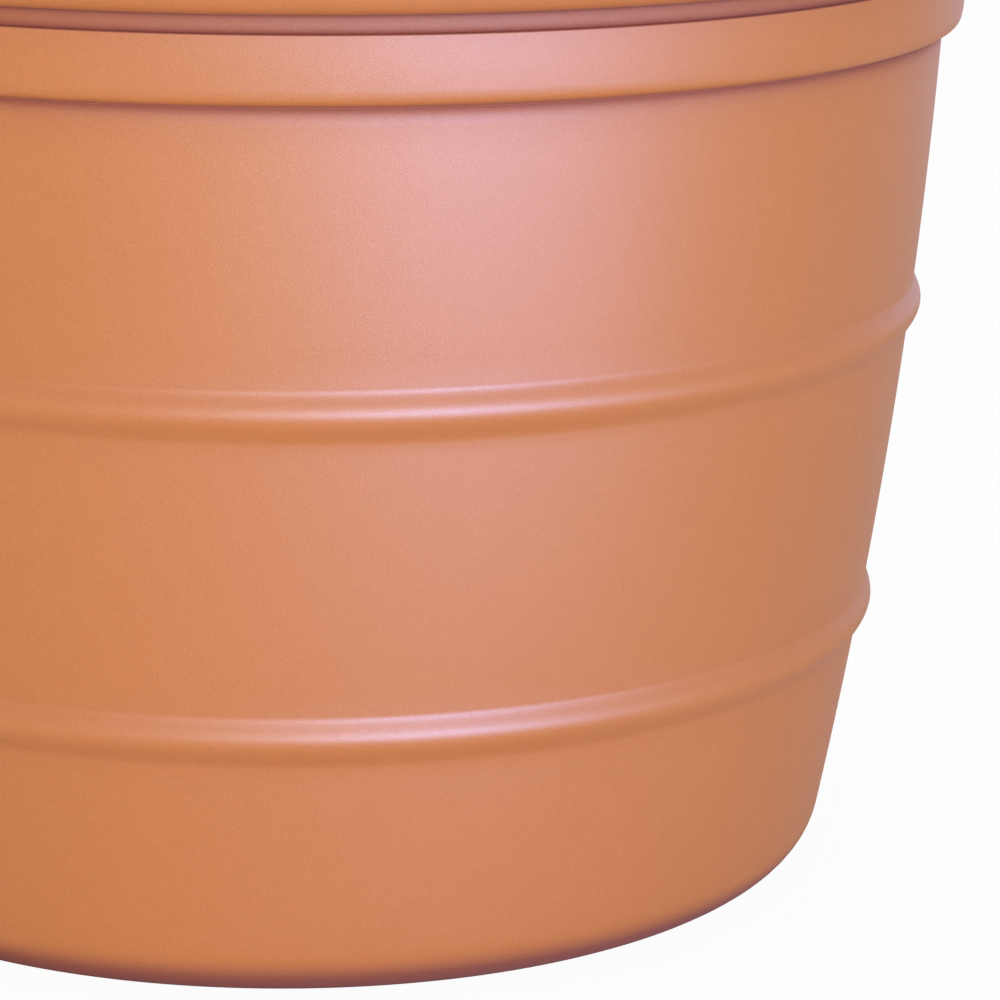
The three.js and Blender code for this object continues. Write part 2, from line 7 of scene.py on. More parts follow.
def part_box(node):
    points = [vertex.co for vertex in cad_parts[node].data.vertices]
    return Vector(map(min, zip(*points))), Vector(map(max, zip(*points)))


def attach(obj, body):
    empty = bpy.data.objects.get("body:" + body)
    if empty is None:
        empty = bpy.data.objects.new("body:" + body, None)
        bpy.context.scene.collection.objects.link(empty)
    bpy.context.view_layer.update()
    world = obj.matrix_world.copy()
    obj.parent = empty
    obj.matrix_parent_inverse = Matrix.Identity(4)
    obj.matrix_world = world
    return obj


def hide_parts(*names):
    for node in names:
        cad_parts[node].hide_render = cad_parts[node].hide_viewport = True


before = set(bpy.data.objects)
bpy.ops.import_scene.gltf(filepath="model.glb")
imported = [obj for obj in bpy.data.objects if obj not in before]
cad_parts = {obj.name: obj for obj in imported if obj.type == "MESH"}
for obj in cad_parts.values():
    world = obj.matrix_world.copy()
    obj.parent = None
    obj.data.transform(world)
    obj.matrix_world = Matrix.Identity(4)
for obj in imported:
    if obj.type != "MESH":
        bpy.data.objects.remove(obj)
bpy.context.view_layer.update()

# A free-standing rain barrel of moulded plastic, in metres, +Z up, on its own axis. The tap faces
# -Y, the overflow +Y and the link port -X. Outlines are lists of (radius, height, rounding).

GAP = 0.0003  # between two pieces that touch
FINE = 200  # steps round the barrel and its lid
SMALL = 72  # steps round a fitting
SHAVE = 0.001  # how far a cutter reaches past what it cuts

# Side wall of the barrel, the lower half; the upper half is its mirror image.
BODY_H = 0.396
UPPER_SIDE = 0.340  # height of the wall above the belt
BELT_R = 0.300
END_R = 0.249
BOW_R = 2.750
CORNER_R = 0.031
WALL = 0.005
WALL_STEP = 0.008

# Hoop ribs.
RIB_HEIGHTS = (0.1241, 0.2672)
RIB_OUT = 0.0046
RIB_ABOVE = 0.0120  # reach of the rib's upper flank, and below it of the lower flank
RIB_BELOW = 0.0128
RIB_FULLNESS = {"above": 2.0, "below": 2.2}
RIB_ROOM = 0.016  # on both sides of a rib, where its own points replace the wall's

# Belt: band, neck and roll.
BAND_Z = 0.3949  # where the band's underside leaves the wall
BAND_OUT = 0.0090
BAND_RISE = 0.0012  # of the underside, up to its rounding
BAND_ROUND = 0.0065
BAND_FLARE = 0.10
BAND_TOP = 0.4256
NECK_R = 0.3083
ROLL_FOOT = 0.4333
ROLL_FULLNESS = 2.7  # 2 is an ellipse, more is boxier
CREASE = 0.0014  # how far the wall dips in below the band
PARTING_OUT = 0.0004  # of the moulding line round the middle of the roll

# Underside, mouth and ports.
PAD_R = 0.060
FOOT_WIDTH = 0.038
RECESS = 0.006
LIP_H = 0.020
LIP_T = 0.007
LIP_WIDTH = 0.0305
BOSS_R = 0.040
BOSS_FLARE = 0.007
POCKET_R = 0.034
PLATE_T = 0.006
HOLE_PLAY = 0.0006
ROOT = 0.125  # where the fittings' cutters start, well inside the barrel

# Lid and strainer.
LID_T = 0.0045
LID_PLAY = 0.0015
LID_TOP_T = 0.006  # from the mouth up to the dish's edge, and from the ledge up to the dish
CROWN_W = 0.026
DISH_STEPS = (0.200, 0.150)
DISH_RIBS = 12
STRAINER_LEDGE = 0.013
BASKET_T = 0.0025
BASKET_FLANGE_T = 0.003
BASKET_STEPS = 144
BASKET_BARS = 8
BAR_W = 0.008
HOOP_H = 0.007
GRIP_W = 0.012
WIRE = 0.00055
NET_ROUND = 140  # wires round the net, and rings up its wall
NET_ROWS = 17
NET_SQUARES = 44  # across the net's floor

# Fittings.
TAIL_R = 0.0132
WATERWAY_R = 0.0085
FLANGE_T = 0.006
BALL_PLAY = 0.0015
SPOUT_R = 0.0132
COLLAR_R = 0.017
COLLAR_H = 0.006
HOSE_THREAD_H = 0.014
BONNET_R = 0.0105
STEM_R = 0.0042
STEM_TOP_R = 0.003
PACKING_R = 0.007
LEVER_ROOT_W = 0.012
LEVER_W = 0.018
LEVER_HUB_R = 0.011
SLEEVE_SHARE = 0.42  # where the sleeve starts along the lever
SLEEVE_T = 0.0011
LINK_BORE_R = 0.0095
CAP_GRIPS = 24
OVERFLOW_R = 0.017
OVERFLOW_BORE_R = 0.0135
BARB_STEPS = 4
BARB_OUT = 0.0016


# ---- Shop tools ----

def mode(name):
    bpy.ops.object.mode_set(mode=name)


def begin():
    """Leaves nothing selected, so that the next tool works on its own piece only."""
    if bpy.context.object and bpy.context.object.mode != "OBJECT":
        mode("OBJECT")
    bpy.ops.object.select_all(action="DESELECT")


def pick(piece):
    begin()
    piece.select_set(True)
    bpy.context.view_layer.objects.active = piece


def named(piece, name):
    piece.name = name
    piece.data.name = name
    return piece


def settle(piece):
    """Moves a piece's place, turn and scale into its mesh."""
    pick(piece)
    bpy.ops.object.transform_apply(location=True, rotation=True, scale=True)
    return piece


def finish(piece, modifier):
    pick(piece)
    bpy.ops.object.modifier_apply(modifier=modifier.name)


def smooth(piece, angle=32):
    pick(piece)
    bpy.ops.object.shade_smooth_by_angle(angle=math.radians(angle))
    return piece


def outward(piece):
    """Closes a new shell's seams and turns its faces outwards."""
    pick(piece)
    mode("EDIT")
    bpy.ops.mesh.select_all(action="SELECT")
    bpy.ops.mesh.remove_doubles(threshold=1e-6)
    bpy.ops.mesh.normals_make_consistent(inside=False)
    mode("OBJECT")
    return piece


def combine(piece, tool, operation):
    """Joins a tool to a piece, cuts it away or keeps what they share, and uses the tool up."""
    cutter = piece.modifiers.new("combine", "BOOLEAN")
    cutter.operation = operation
    cutter.solver = "MANIFOLD"
    cutter.object = tool
    finish(piece, cutter)
    bpy.data.objects.remove(tool)
    return piece


def join(piece, tool):
    return combine(piece, tool, "UNION")


def cut(piece, tool):
    return combine(piece, tool, "DIFFERENCE")


def shared(piece, tool):
    return combine(piece, tool, "INTERSECT")


def bevelled(piece, width, segments=3, angle=30):
    edge = piece.modifiers.new("edge", "BEVEL")
    edge.width = width
    edge.segments = segments
    edge.limit_method = "ANGLE"
    edge.angle_limit = math.radians(angle)
    finish(piece, edge)
    return piece


def rounded(corners, closed=False):
    """An outline of (radius, height) points from corners that each may have a rounding."""
    points = []
    last = len(corners) - 1
    for i, corner in enumerate(corners):
        here = Vector(corner[:2])
        reach = corner[2] if len(corner) > 2 else 0
        if reach == 0 or (not closed and i in (0, last)):
            points.append(tuple(here))
            continue
        before = (Vector(corners[i - 1][:2]) - here).normalized()
        after = (Vector(corners[(i + 1) % len(corners)][:2]) - here).normalized()
        half = before.angle(after) / 2
        middle = here + (before + after).normalized() * (reach / math.sin(half))
        first = here + before * (reach / math.tan(half)) - middle
        final = here + after * (reach / math.tan(half)) - middle
        sweep = first.angle_signed(final)
        steps = max(2, math.ceil(abs(sweep) / math.radians(15)))
        for step in range(steps + 1):
            arm = first.copy()
            arm.rotate(Matrix.Rotation(-sweep * step / steps, 2))
            points.append(tuple(middle + arm))
    return points


def drawn(name, points):
    """A line through (x, y, z) points, left in edit mode with all of it selected."""
    begin()
    bpy.ops.mesh.primitive_plane_add(size=0.001, location=points[0])
    piece = named(bpy.context.object, name)
    bpy.ops.object.transform_apply(location=True)
    mode("EDIT")
    bpy.ops.mesh.select_mode(type="VERT")
    bpy.ops.mesh.select_all(action="SELECT")
    bpy.ops.mesh.merge(type="CENTER")
    for here, there in zip(points, points[1:]):
        move = {"value": [end - start for start, end in zip(here, there)]}
        bpy.ops.mesh.extrude_vertices_move(TRANSFORM_OT_translate=move)
    bpy.ops.mesh.select_all(action="SELECT")
    return piece


def turned(name, outline, steps=SMALL, closed=False):
    """A piece turned about Z: its outline is drawn, then spun round."""
    points = [(r, 0, z) for r, z in outline]
    piece = drawn(name, points + points[:1] if closed else points)
    bpy.ops.mesh.spin(steps=steps, angle=math.tau, center=(0, 0, 0), axis=(0, 0, 1))
    mode("OBJECT")
    return outward(piece)


def rod(name, radius, start, end, steps=SMALL):
    """A plain closed cylinder along Z, to join or cut with."""
    begin()
    middle = (0, 0, (start + end) / 2)
    bpy.ops.mesh.primitive_cylinder_add(
        vertices=steps, radius=radius, depth=end - start, location=middle)
    return settle(named(bpy.context.object, name))


def block(name, size, middle):
    begin()
    bpy.ops.mesh.primitive_cube_add(size=1, location=middle)
    piece = named(bpy.context.object, name)
    piece.scale = size
    return settle(piece)


def sphere(name, radius, middle=(0, 0, 0), segments=48):
    begin()
    bpy.ops.mesh.primitive_uv_sphere_add(
        segments=segments, ring_count=segments // 2, radius=radius, location=middle)
    return settle(named(bpy.context.object, name))


def hexagon(name, radius, start, end, chamfer=0.12):
    """A hexagonal prism along Z whose corners are turned off at both ends."""
    prism = rod(name, radius, start, end, 6)
    flat = radius * math.cos(math.pi / 6)
    drop = radius * chamfer
    cone = turned("chamfer", [
        (0, start), (flat, start), (radius, start + drop), (radius, end - drop), (flat, end),
        (0, end)])
    return shared(prism, cone)


def washer(name, bore, outer, low, high, bore_edge, outer_edge):
    """A ring turned about Z with rounded edges."""
    return turned(name, rounded([
        (bore, low, bore_edge), (outer, low, outer_edge), (outer, high, outer_edge),
        (bore, high, bore_edge)], closed=True), closed=True)


def threaded(radius, start, end, pitch=0.0019, depth=0.0008):
    """Outline of a screw thread along a length, as ridges, without its ends."""
    count = int((end - start) / pitch)
    points = []
    for i in range(count):
        foot = start + i * pitch
        points.append((radius - depth, foot + 0.15 * pitch))
        points.append((radius, foot + 0.45 * pitch))
        points.append((radius, foot + 0.6 * pitch))
        points.append((radius - depth, foot + 0.9 * pitch))
    return points


def plate(name, outline, low, high):
    """A flat plate: its outline of (x, y) points is drawn, filled and extruded upwards."""
    points = [(x, y, low) for x, y in outline]
    piece = drawn(name, points + points[:1])
    bpy.ops.mesh.remove_doubles(threshold=1e-6)
    bpy.ops.mesh.edge_face_add()
    rise = {"value": (0, 0, high - low)}
    bpy.ops.mesh.extrude_region_move(TRANSFORM_OT_translate=rise)
    mode("OBJECT")
    return outward(piece)


def moved(piece, x):
    piece.location = (x, 0, 0)
    return settle(piece)


def swung(piece, degrees, axis="Z"):
    piece.matrix_world = Matrix.Rotation(math.radians(degrees), 4, axis)
    return settle(piece)


def copied(piece, name):
    twin = piece.copy()
    twin.data = piece.data.copy()
    bpy.context.scene.collection.objects.link(twin)
    return named(twin, name)


def remeshed(piece, voxel, rounds):
    """Melts the seams of a casting together and softens them."""
    melt = piece.modifiers.new("melt", "REMESH")
    melt.mode = "VOXEL"
    melt.voxel_size = voxel
    finish(piece, melt)
    soften = piece.modifiers.new("soften", "SMOOTH")
    soften.factor = 0.5
    soften.iterations = rounds
    finish(piece, soften)
    return piece


# ---- Ports ----

class Port:
    """A place on the barrel for a fitting, and the way that it faces."""

    def __init__(self, gasket, degrees, bore):
        low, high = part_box(gasket)
        self.bore = bore
        self.turn = math.radians(degrees)
        self.way = Vector((round(math.cos(self.turn)), round(math.sin(self.turn)), 0))
        self.z = (low[2] + high[2]) / 2
        self.face = self.reach(gasket)[0] - GAP

    def reach(self, node):
        """Nearest and furthest distance of a CAD node from the barrel's axis, this way."""
        low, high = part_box(node)
        ends = (Vector(low).dot(self.way), Vector(high).dot(self.way))
        return min(ends), max(ends)

    def radius(self, node):
        """Half of a CAD node's width across this way."""
        low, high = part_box(node)
        return (high[0] - low[0] if self.way.x == 0 else high[1] - low[1]) / 2

    def stand(self, piece):
        """Takes a piece from its bench, where +X faces out and +Z is up, to the port."""
        piece.matrix_world = Matrix.Translation((0, 0, self.z)) @ Matrix.Rotation(self.turn, 4, "Z")
        return settle(piece)

    def lay(self, piece):
        """The same, for a piece that was turned about Z and lies along the way out."""
        piece.matrix_world = Matrix.Rotation(math.pi / 2, 4, "Y")
        return self.stand(settle(piece))


tap = Port("tap_outer_gasket", -90, TAIL_R)
link = Port("link_gasket", 180, TAIL_R)
overflow = Port("overflow_gasket", 90, OVERFLOW_R)


# ---- Barrel ----

lid_low, lid_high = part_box("lid")
ROLL_R, _, MOUTH_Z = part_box("barrel_body")[1]
ROLL_Z = MOUTH_Z / 2 + (BODY_H - UPPER_SIDE) / 2


def bow_centre():
    """Centre of the circle that the side wall follows, seen from the side."""
    rise = BELT_R - END_R
    chord = math.hypot(BODY_H, rise)
    back = math.sqrt(BOW_R ** 2 - (chord / 2) ** 2)
    return (END_R + BELT_R) / 2 - back * BODY_H / chord, BODY_H / 2 + back * rise / chord


BOW_X, BOW_Z = bow_centre()


def wall_radius(height):
    """Radius of the wall's outside at a height above its small end, ribs left out."""
    return BOW_X + math.sqrt(BOW_R ** 2 - (height - BOW_Z) ** 2)


def rib_bump(distance):
    """How far a rib stands out at a distance above its middle."""
    share = distance / RIB_ABOVE if distance > 0 else -distance / RIB_BELOW
    fullness = RIB_FULLNESS["above" if distance > 0 else "below"]
    return RIB_OUT * (1 - share ** 2) ** fullness if share < 1 else 0


def side_wall(low, high):
    """The wall's outside with its ribs, between two heights above the small end."""
    heights = {low, high}
    count = round((high - low) / WALL_STEP)
    heights.update(low + (high - low) * i / count for i in range(count))
    for middle in RIB_HEIGHTS:
        heights = {h for h in heights if abs(h - middle) > RIB_ROOM or h in (low, high)}
        heights.update(middle + RIB_ABOVE * (i - 15) / 15 for i in range(31))
    points = []
    for height in sorted(h for h in heights if low <= h <= high):
        bump = sum(rib_bump(height - middle) for middle in RIB_HEIGHTS)
        points.append((wall_radius(height) + bump, height))
    return points


def roll_section(foot, out, up, steps):
    """The lower half of the roll's section, from its foot to its middle."""
    power = 2 / ROLL_FULLNESS
    points = []
    for i in range(steps):
        angle = math.pi / 2 * i / steps
        across = out * math.sin(angle) ** power
        points.append((foot + across, ROLL_Z - up * math.cos(angle) ** power))
    return points


def lower_belt():
    """From the wall's upper end to the middle of the roll."""
    wall_r = wall_radius(BAND_Z)
    edge_r = wall_r + BAND_OUT
    face_low = BAND_Z + BAND_RISE + BAND_ROUND
    face_r = edge_r + BAND_FLARE * (BAND_TOP - face_low)
    steps = rounded([
        (wall_radius(BAND_Z - 0.003), BAND_Z - 0.003, 0.002),
        (wall_r - CREASE, BAND_Z, 0.0003),
        (edge_r - BAND_ROUND, BAND_Z + BAND_RISE, 0.004),
        (edge_r - BAND_ROUND * 0.16, BAND_Z + BAND_RISE + BAND_ROUND * 0.24, 0.005),
        (edge_r, face_low, 0.012),
        (face_r, BAND_TOP, 0.0007),
        (NECK_R, BAND_TOP + 0.0001, 0.0006),
        (NECK_R + 0.0003, ROLL_FOOT - 0.002),
    ])
    crown = ROLL_R - PARTING_OUT
    roll = roll_section(NECK_R, crown - NECK_R, ROLL_Z - ROLL_FOOT, 28)
    edge = 0.0007
    parting = [(crown, ROLL_Z - edge), (ROLL_R, ROLL_Z - edge / 3)]
    return steps + roll + parting


def above_belt(points):
    """The same points mirrored into the upper half, still going up."""
    return [(r, 2 * ROLL_Z - z) for r, z in reversed(points)]


def base_corner(inset):
    """Rounding between the underside and the wall, at a distance inside them."""
    reach = BOW_R - CORNER_R
    middle = BOW_X + math.sqrt(reach ** 2 - (CORNER_R - BOW_Z) ** 2)
    top = math.atan2(CORNER_R - BOW_Z, middle - BOW_X)
    points = []
    for i in range(15):
        angle = -math.pi / 2 + (top + math.pi / 2) * i / 14
        arm = CORNER_R - inset
        points.append((middle + arm * math.cos(angle), CORNER_R + arm * math.sin(angle)))
    return points


def make_barrel():
    small_end = 2 * ROLL_Z - MOUTH_Z
    lip_r = lid_high[0] - LID_T - LID_PLAY
    corner = base_corner(0)
    foot_inner = corner[0][0] - FOOT_WIDTH
    underside = rounded([
        (0, 0),
        (PAD_R, 0, 0.002),
        (PAD_R + 0.006, RECESS, 0.003),
        (foot_inner - 0.006, RECESS, 0.003),
        (foot_inner, 0, 0.002),
        corner[0],
    ])
    neck = wall_radius(small_end + LIP_H)
    lip = rounded([
        (neck, MOUTH_Z - LIP_H),
        (neck + 0.0005, MOUTH_Z - LIP_H + 0.002, 0.0012),
        (lip_r, MOUTH_Z - LIP_H + 0.004, 0.002),
        (lip_r, MOUTH_Z, 0.003),
        (0, MOUTH_Z),
    ])
    belt = lower_belt()
    wall_top = BAND_Z - 0.008
    outside = underside[:-1] + corner + side_wall(corner[-1][1], wall_top)[1:] + belt
    outside += above_belt(belt)
    outside += above_belt(side_wall(small_end + LIP_H, wall_top)) + lip[1:]
    barrel = turned("barrel_shell", outside, FINE)

    floor = RECESS + WALL
    turn_in = [p for p in base_corner(WALL) if p[1] > floor]
    heights = [0.03 + (BODY_H - 0.03) * i / 16 for i in range(17)]
    inner = [(wall_radius(height) - WALL, height) for height in heights]
    neck_in = NECK_R - WALL
    belt_in = [(neck_in, BODY_H + 0.015)]
    belt_in += roll_section(neck_in, ROLL_R - NECK_R, ROLL_Z - ROLL_FOOT - WALL, 12)
    belt_in.append((ROLL_R - WALL, ROLL_Z))
    upper_in = [p for p in above_belt(inner) if p[1] < MOUTH_Z - LIP_T]
    mouth_r = lip_r - LIP_WIDTH
    inside = [(0, floor), (turn_in[0][0] - WALL, floor)] + turn_in + inner[1:] + belt_in
    inside += above_belt(belt_in[:-1]) + upper_in
    inside += [(upper_in[-1][0], MOUTH_Z - LIP_T), (mouth_r, MOUTH_Z - LIP_T)]
    inside += [(mouth_r, MOUTH_Z + LIP_T), (0, MOUTH_Z + LIP_T)]
    cavity = turned("cavity", inside, FINE)

    for port in (tap, link, overflow):
        boss = turned("boss", rounded([
            (0, ROOT),
            (BOSS_R + BOSS_FLARE, ROOT),
            (BOSS_R + BOSS_FLARE, port.face - 0.0145),
            (BOSS_R + 0.0005, port.face - 0.0075, 0.009),
            (BOSS_R, port.face, 0.002),
            (0, port.face),
        ]))
        join(barrel, port.lay(boss))
        join(cavity, port.lay(rod("pocket", POCKET_R, ROOT, port.face - PLATE_T)))
        join(cavity, port.lay(rod("hole", port.bore + HOLE_PLAY, ROOT, port.face + PLATE_T)))
    return smooth(cut(barrel, cavity), 40)


# ---- Lid and strainer ----

def make_lid():
    frame_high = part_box("strainer_frame")[1]
    ledge = frame_high[2] - BASKET_FLANGE_T - GAP
    dish = ledge + LID_TOP_T
    ledge_r = frame_high[0] + LID_PLAY
    inlet_r = ledge_r - STRAINER_LEDGE
    edge_r = lid_high[0]
    skirt_in = edge_r - LID_T
    mouth_r = skirt_in - LID_PLAY - LIP_WIDTH
    rest = MOUTH_Z + GAP
    top = lid_high[2]
    crown_r = edge_r - CROWN_W / 2
    inner_edge = MOUTH_Z + LID_TOP_T

    def slope(r):
        """Height of the dish at a radius."""
        return inner_edge - (inner_edge - dish) * (mouth_r + LID_T - r) / (mouth_r - ledge_r)

    crown = []
    for i in range(1, 20):
        angle = math.pi * i / 20
        across = CROWN_W / 2 * math.cos(angle)
        crown.append((crown_r + across, top - CROWN_W / 3 * (1 - math.sin(angle))))
    lip = [(edge_r, lid_low[2] + 0.003), (edge_r, top - CROWN_W / 3)] + crown
    steps = []
    for r in DISH_STEPS:
        steps += [(r + 0.0035, slope(r + 0.0035), 0.002), (r, slope(r) - 0.0018, 0.002)]
    outline = rounded([
        (ledge_r + LID_T, ledge - LID_T, 0.0008),
        (ledge_r + LID_T, dish - LID_T - 0.0006, 0.003),
        (mouth_r - LID_PLAY, rest - 0.0002, 0.002),
        (mouth_r + 0.012, rest, 0.0008),
        (mouth_r + 0.014, top - LID_T, 0.003),
        (skirt_in, top - LID_T, 0.006),
        (skirt_in, lid_low[2], 0.0008),
        (edge_r, lid_low[2], 0.0012),
        *lip,
        (mouth_r + LID_T, inner_edge + 0.004, 0.005),
        (mouth_r + LID_T - 0.004, slope(mouth_r), 0.006),
        *steps,
        (ledge_r + 0.0015, dish, 0.0018),
        (ledge_r, ledge, 0.0012),
        (inlet_r, ledge, 0.0010),
        (inlet_r, ledge - LID_T, 0.0008),
    ], closed=True)
    lid = turned("lid_shell", outline, FINE, closed=True)
    for i in range(DISH_RIBS):
        rib = block("dish_rib", (0.030, 0.0045, 0.0045), (0.126, 0, slope(0.112) + 0.0008))
        bevelled(rib, 0.0011, 3)
        join(lid, swung(rib, 360 * (i + 0.5) / DISH_RIBS))
    return smooth(lid, 35)


def make_basket():
    low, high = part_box("strainer_frame")
    flange_r = high[0]
    floor = low[2]
    top = high[2]
    flange = top - BASKET_FLANGE_T
    outer = flange_r - STRAINER_LEDGE
    inner = outer - BASKET_T
    basket = turned("strainer_basket", rounded([
        (0, floor),
        (outer, floor, 0.0022),
        (outer, flange, 0.0012),
        (flange_r, flange, 0.0008),
        (flange_r, top, 0.0012),
        (inner, top, 0.0010),
        (inner, floor + BASKET_T, 0.0018),
        (0, floor + BASKET_T),
    ]), BASKET_STEPS)
    window_low = floor + HOOP_H
    window_high = flange - HOOP_H
    width = math.tau * outer / BASKET_BARS - BAR_W
    size = (0.02, width, window_high - window_low)
    window = block("window", size, (outer, 0, (window_low + window_high) / 2))
    bevelled(window, 0.003, 4)
    hole = rod("floor_hole", inner * 0.24, floor - SHAVE, floor + BASKET_T + SHAVE, 40)
    for i in range(BASKET_BARS):
        turn = 360 * (i + 0.5) / BASKET_BARS
        cut(basket, swung(copied(window, "cutter"), turn))
        cut(basket, swung(moved(copied(hole, "cutter"), inner * 0.7), turn))
    cut(basket, hole)
    bpy.data.objects.remove(window)
    size = (2 * inner + BASKET_T, GRIP_W, BASKET_FLANGE_T)
    grip = block("grip", size, (0, 0, top - BASKET_FLANGE_T / 2))
    bevelled(grip, 0.0010, 3)
    join(basket, grip)
    return smooth(basket, 35)


def make_net():
    """Woven wire: a wall and a floor of wires, with a solid seam where they meet."""
    low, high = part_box("strainer_mesh")
    reach = high[0] - WIRE
    floor = low[2] + WIRE
    rise = {"value": (0, 0, (high[2] - WIRE - floor) / NET_ROWS)}
    begin()
    bpy.ops.mesh.primitive_circle_add(vertices=NET_ROUND, radius=reach, location=(0, 0, floor))
    wall = settle(named(bpy.context.object, "strainer_net"))
    mode("EDIT")
    bpy.ops.mesh.select_mode(type="VERT")
    bpy.ops.mesh.select_all(action="SELECT")
    for _ in range(NET_ROWS):
        bpy.ops.mesh.extrude_region_move(TRANSFORM_OT_translate=rise)
    mode("OBJECT")
    begin()
    bpy.ops.mesh.primitive_grid_add(
        x_subdivisions=NET_SQUARES, y_subdivisions=NET_SQUARES, size=2 * reach,
        location=(0, 0, floor))
    base = settle(named(bpy.context.object, "net_floor"))
    mode("EDIT")
    bpy.ops.mesh.select_all(action="DESELECT")
    mode("OBJECT")
    for vertex in base.data.vertices:
        vertex.select = math.hypot(vertex.co.x, vertex.co.y) > reach - WIRE
    mode("EDIT")
    bpy.ops.mesh.delete(type="VERT")
    mode("OBJECT")
    for piece in (wall, base):
        wires = piece.modifiers.new("wires", "WIREFRAME")
        wires.thickness = WIRE
        wires.use_even_offset = False
        finish(piece, wires)
    seam = turned("net_seam", rounded([
        (reach - 0.0045, floor - 0.0003, 0.0002),
        (reach + 0.0003, floor - 0.0003, 0.0002),
        (reach + 0.0003, floor + 0.0022, 0.0002),
        (reach - 0.0004, floor + 0.0022, 0.0002),
        (reach - 0.0006, floor + 0.0006, 0.0002),
        (reach - 0.0045, floor + 0.0006, 0.0002),
    ], closed=True), BASKET_STEPS, closed=True)
    pick(wall)
    base.select_set(True)
    seam.select_set(True)
    bpy.ops.object.join()
    return smooth(wall, 40)


# ---- Fittings ----

def make_ring(port, node, bore):
    """A gasket or washer with soft edges, where the CAD node lies."""
    low, high = port.reach(node)
    edge = min(0.0009, (high - low) / 3)
    ring = washer(node + "_ring", bore, port.radius(node), low, high, edge, edge)
    return smooth(port.lay(ring), 40)


def make_lock_nut(port, node):
    """A hexagon nut with a turned flange, chamfered corners and a thread in its bore."""
    low, high = port.reach(node)
    radius = port.radius(node)
    bore = port.bore + GAP
    flat = radius * math.cos(math.pi / 6)
    nut = hexagon("nut", radius, low, high - 0.0018)
    join(nut, turned("flange", rounded([
        (0, high - 0.0026), (flat, high - 0.0026, 0.0006), (flat, high, 0.0006), (0, high)])))
    ridges = [(r + 0.0008, z) for r, z in threaded(bore, low + 0.0012, high - 0.001)]
    cutter = turned("bore", [
        (0, low - SHAVE), (bore + 0.0016, low - SHAVE), (bore + 0.0016, low), (bore, low + 0.0010),
        *ridges, (bore, high - 0.0006), (bore + 0.001, high), (bore + 0.001, high + SHAVE),
        (0, high + SHAVE)])
    return smooth(port.lay(named(cut(nut, cutter), node + "_turned")), 30)


ball_near, ball_far = tap.reach("tap_ball")
BALL_X = (ball_near + ball_far) / 2
BALL_R = (ball_far - ball_near) / 2
SPOUT_X = tap.reach("tap_valve_body")[1] - COLLAR_R


def levels(node):
    """Heights of a CAD node's lower and upper end above the tap's axis."""
    low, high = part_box(node)
    return low[2] - tap.z, high[2] - tap.z


def at_ball(piece):
    """Takes a piece turned about Z to the ball's axis on the bench, then to the tap."""
    return tap.stand(moved(piece, BALL_X))


def make_tailpiece():
    start, end = tap.reach("tap_tailpiece")
    flange = tap.reach("tap_outer_gasket")[1] + GAP
    piece = turned("tap_tailpiece_turned", rounded([
        (0, start),
        (TAIL_R - 0.0008, start, 0.0005),
        *threaded(TAIL_R, start + 0.001, flange - 0.001),
        (TAIL_R - 0.0008, flange - 0.001),
        (TAIL_R, flange),
        (TAIL_R, end, 0.0006),
        (0, end),
    ]))
    flange_r = tap.radius("tap_tailpiece")
    join(piece, hexagon("hexagon", flange_r, flange, flange + FLANGE_T))
    cut(piece, turned("waterway", [
        (0, start - SHAVE), (WATERWAY_R + 0.0015, start - SHAVE), (WATERWAY_R, start + 0.0012),
        (WATERWAY_R, end - 0.001), (WATERWAY_R + 0.001, end + SHAVE), (0, end + SHAVE)]))
    return smooth(tap.lay(piece), 30)


def make_valve_body():
    near = tap.reach("tap_valve_body")[0]
    foot, head = levels("tap_valve_body")
    outer = tap.radius("tap_valve_body")
    collar = foot + HOSE_THREAD_H
    seat_end = tap.reach("tap_outlet_seat")[1]
    body = swung(turned("tap_body_cast", rounded([
        (0, near), (outer - 0.0006, near, 0.001), (outer - 0.0006, near + 0.004, 0.001),
        (outer - 0.0016, near + 0.006, 0.003), (outer - 0.0004, BALL_X, 0.03),
        (outer - 0.0012, seat_end, 0.006), (SPOUT_R + 0.0004, seat_end + 0.006, 0.006),
        (SPOUT_R, SPOUT_X), (0, SPOUT_X)])), 90, "Y")
    join(body, moved(turned("spout", rounded([
        (0, collar), (SPOUT_R + 0.0008, collar), (SPOUT_R, collar + 0.012, 0.01),
        (SPOUT_R, 0), (0, 0)])), SPOUT_X))
    join(body, sphere("elbow", SPOUT_R + 0.0006, (SPOUT_X, 0, 0)))
    join(body, moved(turned("bonnet", rounded([
        (0, 0), (BONNET_R + 0.003, 0), (BONNET_R + 0.002, outer - 0.002, 0.004),
        (BONNET_R, outer + 0.004, 0.006), (BONNET_R, head - 0.001, 0.0008), (0, head)])), BALL_X))
    remeshed(body, 0.0009, 6)
    join(body, moved(turned("hose_thread", rounded([
        (0, foot), (SPOUT_R - 0.0012, foot, 0.0006),
        *threaded(SPOUT_R, foot + 0.001, collar - 0.0012, 0.0022, 0.0011),
        (SPOUT_R - 0.0011, collar), (COLLAR_R, collar, 0.0010),
        (COLLAR_R, collar + COLLAR_H, 0.0012), (0, collar + COLLAR_H)])), SPOUT_X))
    join(body, moved(hexagon("bonnet_top", BONNET_R, head - 0.008, head, 0.08), BALL_X))
    cut(body, swung(rod("chamber", BALL_R + BALL_PLAY, near - SHAVE, seat_end + GAP), 90, "Y"))
    cut(body, swung(rod("waterway", WATERWAY_R, BALL_X, SPOUT_X), 90, "Y"))
    cut(body, moved(rod("spout_bore", WATERWAY_R, foot - SHAVE, 0), SPOUT_X))
    cut(body, sphere("bend", WATERWAY_R, (SPOUT_X, 0, 0)))
    cut(body, moved(rod("stem_bore", STEM_R + GAP, 0, head + SHAVE), BALL_X))
    cut(body, moved(rod("packing_bore", PACKING_R + GAP, head - 0.009, head + SHAVE), BALL_X))
    return smooth(tap.stand(body), 34)


